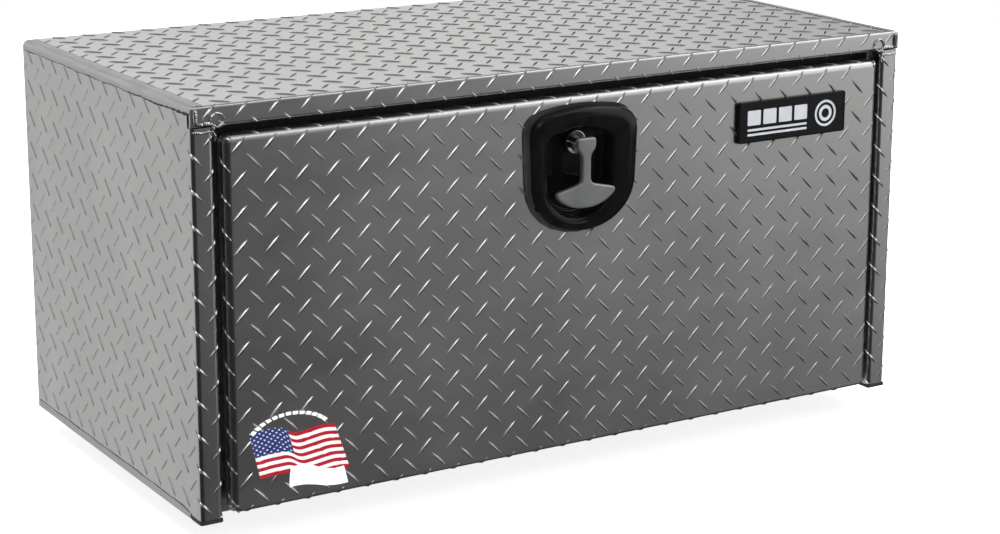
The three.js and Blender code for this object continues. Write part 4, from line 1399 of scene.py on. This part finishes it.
# Panels of studio light: span of azimuth, span of elevation, width of the soft edge, how far the
# lower edge leans up to the right, brightness.
PANELS = (
    ((35, 73), (-24.4, 60), 4, 16, 1.45),   # big diffuser at the right
    ((5, 70), (-34, 30), 16, 0, 0.06),      # its glow on the wall in front
    ((137, 200), (-1, 32), 20, 0, 1.06),    # wall behind, to the right
    ((-178, -95), (-50, 25), 20, 0, 0.62),  # wall behind, to the left
    ((62, 86), (42, 54), 5, 0, 2.6),        # strip above the diffuser
    ((-42, -14), (32, 50), 5, 0, 2.1),      # small key above the front
    ((-14, 2), (34, 48), 8, 0, 0.8),        # its dim end
    ((-27, -21), (38, 43), 2, 0, 5),        # lamp inside it
    ((-80, -5), (-75, -42), 12, 0, 0.12),   # low fill at the left of the front
    ((115, 190), (-70, -12), 12, 0, 0.45),  # low fill behind
)
CEILING = 0.24                      # brightness of all that lies well above the horizon
AMBIENT = 0.025


def studio():
    """Surroundings made of soft patches, with a white backdrop for the camera alone."""
    world = bpy.data.worlds.new("studio")
    scene.world = world
    world.use_nodes = True
    sky = Nodes(world.node_tree)
    sky.tree.nodes.clear()
    direction = sky.node("ShaderNodeTexCoord").outputs["Generated"]

    def beyond(axis, angle, edge):
        """1 on the side of a plane the axis points to, past an angle from it, with a soft edge."""
        dot = sky.node("ShaderNodeVectorMath")
        dot.operation = "DOT_PRODUCT"
        sky.feed(dot.inputs[0], direction)
        sky.feed(dot.inputs[1], axis)
        low, high = (math.sin(math.radians(angle + side * edge / 2)) for side in (-1, 1))
        step = sky.node("ShaderNodeMapRange", Value=dot.outputs["Value"], From_Min=low, From_Max=high)
        step.interpolation_type = "SMOOTHSTEP"
        return step.outputs[0]

    total = sky.math("ADD", sky.math("MULTIPLY", beyond((0, 0, 1), 31, 20), CEILING), AMBIENT)
    for (left, right), (low, high), edge, lean, brightness in PANELS:
        panel = beyond(heading(left + 90, 0), 0, edge)
        panel = sky.math("MULTIPLY", panel, beyond(heading(right - 90, 0), 0, edge))
        panel = sky.math("MULTIPLY", panel, beyond(heading(right + 180, 90 - lean), low, edge))
        panel = sky.math("MULTIPLY", panel, beyond((0, 0, -1), -high, edge))
        total = sky.math("ADD", sky.math("MULTIPLY", panel, brightness), total)
    lit = sky.node("ShaderNodeBackground", Strength=total)
    white = sky.node("ShaderNodeBackground", Color=(1, 1, 1, 1), Strength=1.0)
    mix = sky.node("ShaderNodeMixShader")
    seen = sky.node("ShaderNodeLightPath").outputs["Is Camera Ray"]
    for socket, value in zip(mix.inputs, (seen, lit.outputs[0], white.outputs[0])):
        sky.feed(socket, value)
    sky.node("ShaderNodeOutputWorld", Surface=mix.outputs[0])


# Lights that whiten the floor and that the metal doesn't mirror: place, aim and size in metres,
# and power.
WASHES = {
    "floor_wash": ((-0.3, -0.3, 3.6), (-0.3, 0, 0), 3.5, 190),
    "wide_wash": ((0, 0.5, 7), (0, 0.5, 0), 9, 200),
}


def wash(name, place, aim, size, power):
    data = bpy.data.lights.new(name, "AREA")
    data.shape, data.size, data.energy = "DISK", size, power
    obj = bpy.data.objects.new(name, data)
    scene.collection.objects.link(obj)
    obj.location = place
    obj.rotation_mode = "QUATERNION"
    obj.rotation_quaternion = (Vector(aim) - Vector(place)).to_track_quat("-Z", "Y")
    obj.visible_glossy = False
    obj.visible_camera = False


VIEW = (-31.699, 13.669)            # azimuth and elevation of the camera, in degrees
ROLL = 0.186
AIM = (45.51, 12.0, 228.29)
DISTANCE = 2838.68
LENS = 85.431
SHIFT = -0.06


def camera():
    """The photograph's viewpoint: left of the front, a little above."""
    back = Vector(heading(*VIEW))
    roll = math.radians(ROLL)
    level = Vector((0, 0, 1)).cross(back).normalized()
    rise = back.cross(level)
    right = level * math.cos(roll) + rise * math.sin(roll)
    up = rise * math.cos(roll) - level * math.sin(roll)
    data = bpy.data.cameras.new("camera")
    data.sensor_width, data.lens, data.shift_y = 36.0, LENS, SHIFT
    data.clip_start, data.clip_end = 0.05, 100
    obj = bpy.data.objects.new("camera", data)
    scene.collection.objects.link(obj)
    place = (Vector(AIM) + back * DISTANCE) * MM
    obj.matrix_world = Matrix.Translation(place) @ Matrix((right, up, back)).transposed().to_4x4()
    scene.camera = obj


floor()
studio()
for name, settings in WASHES.items():
    wash(name, *settings)
camera()
scene.view_settings.view_transform = "Standard"
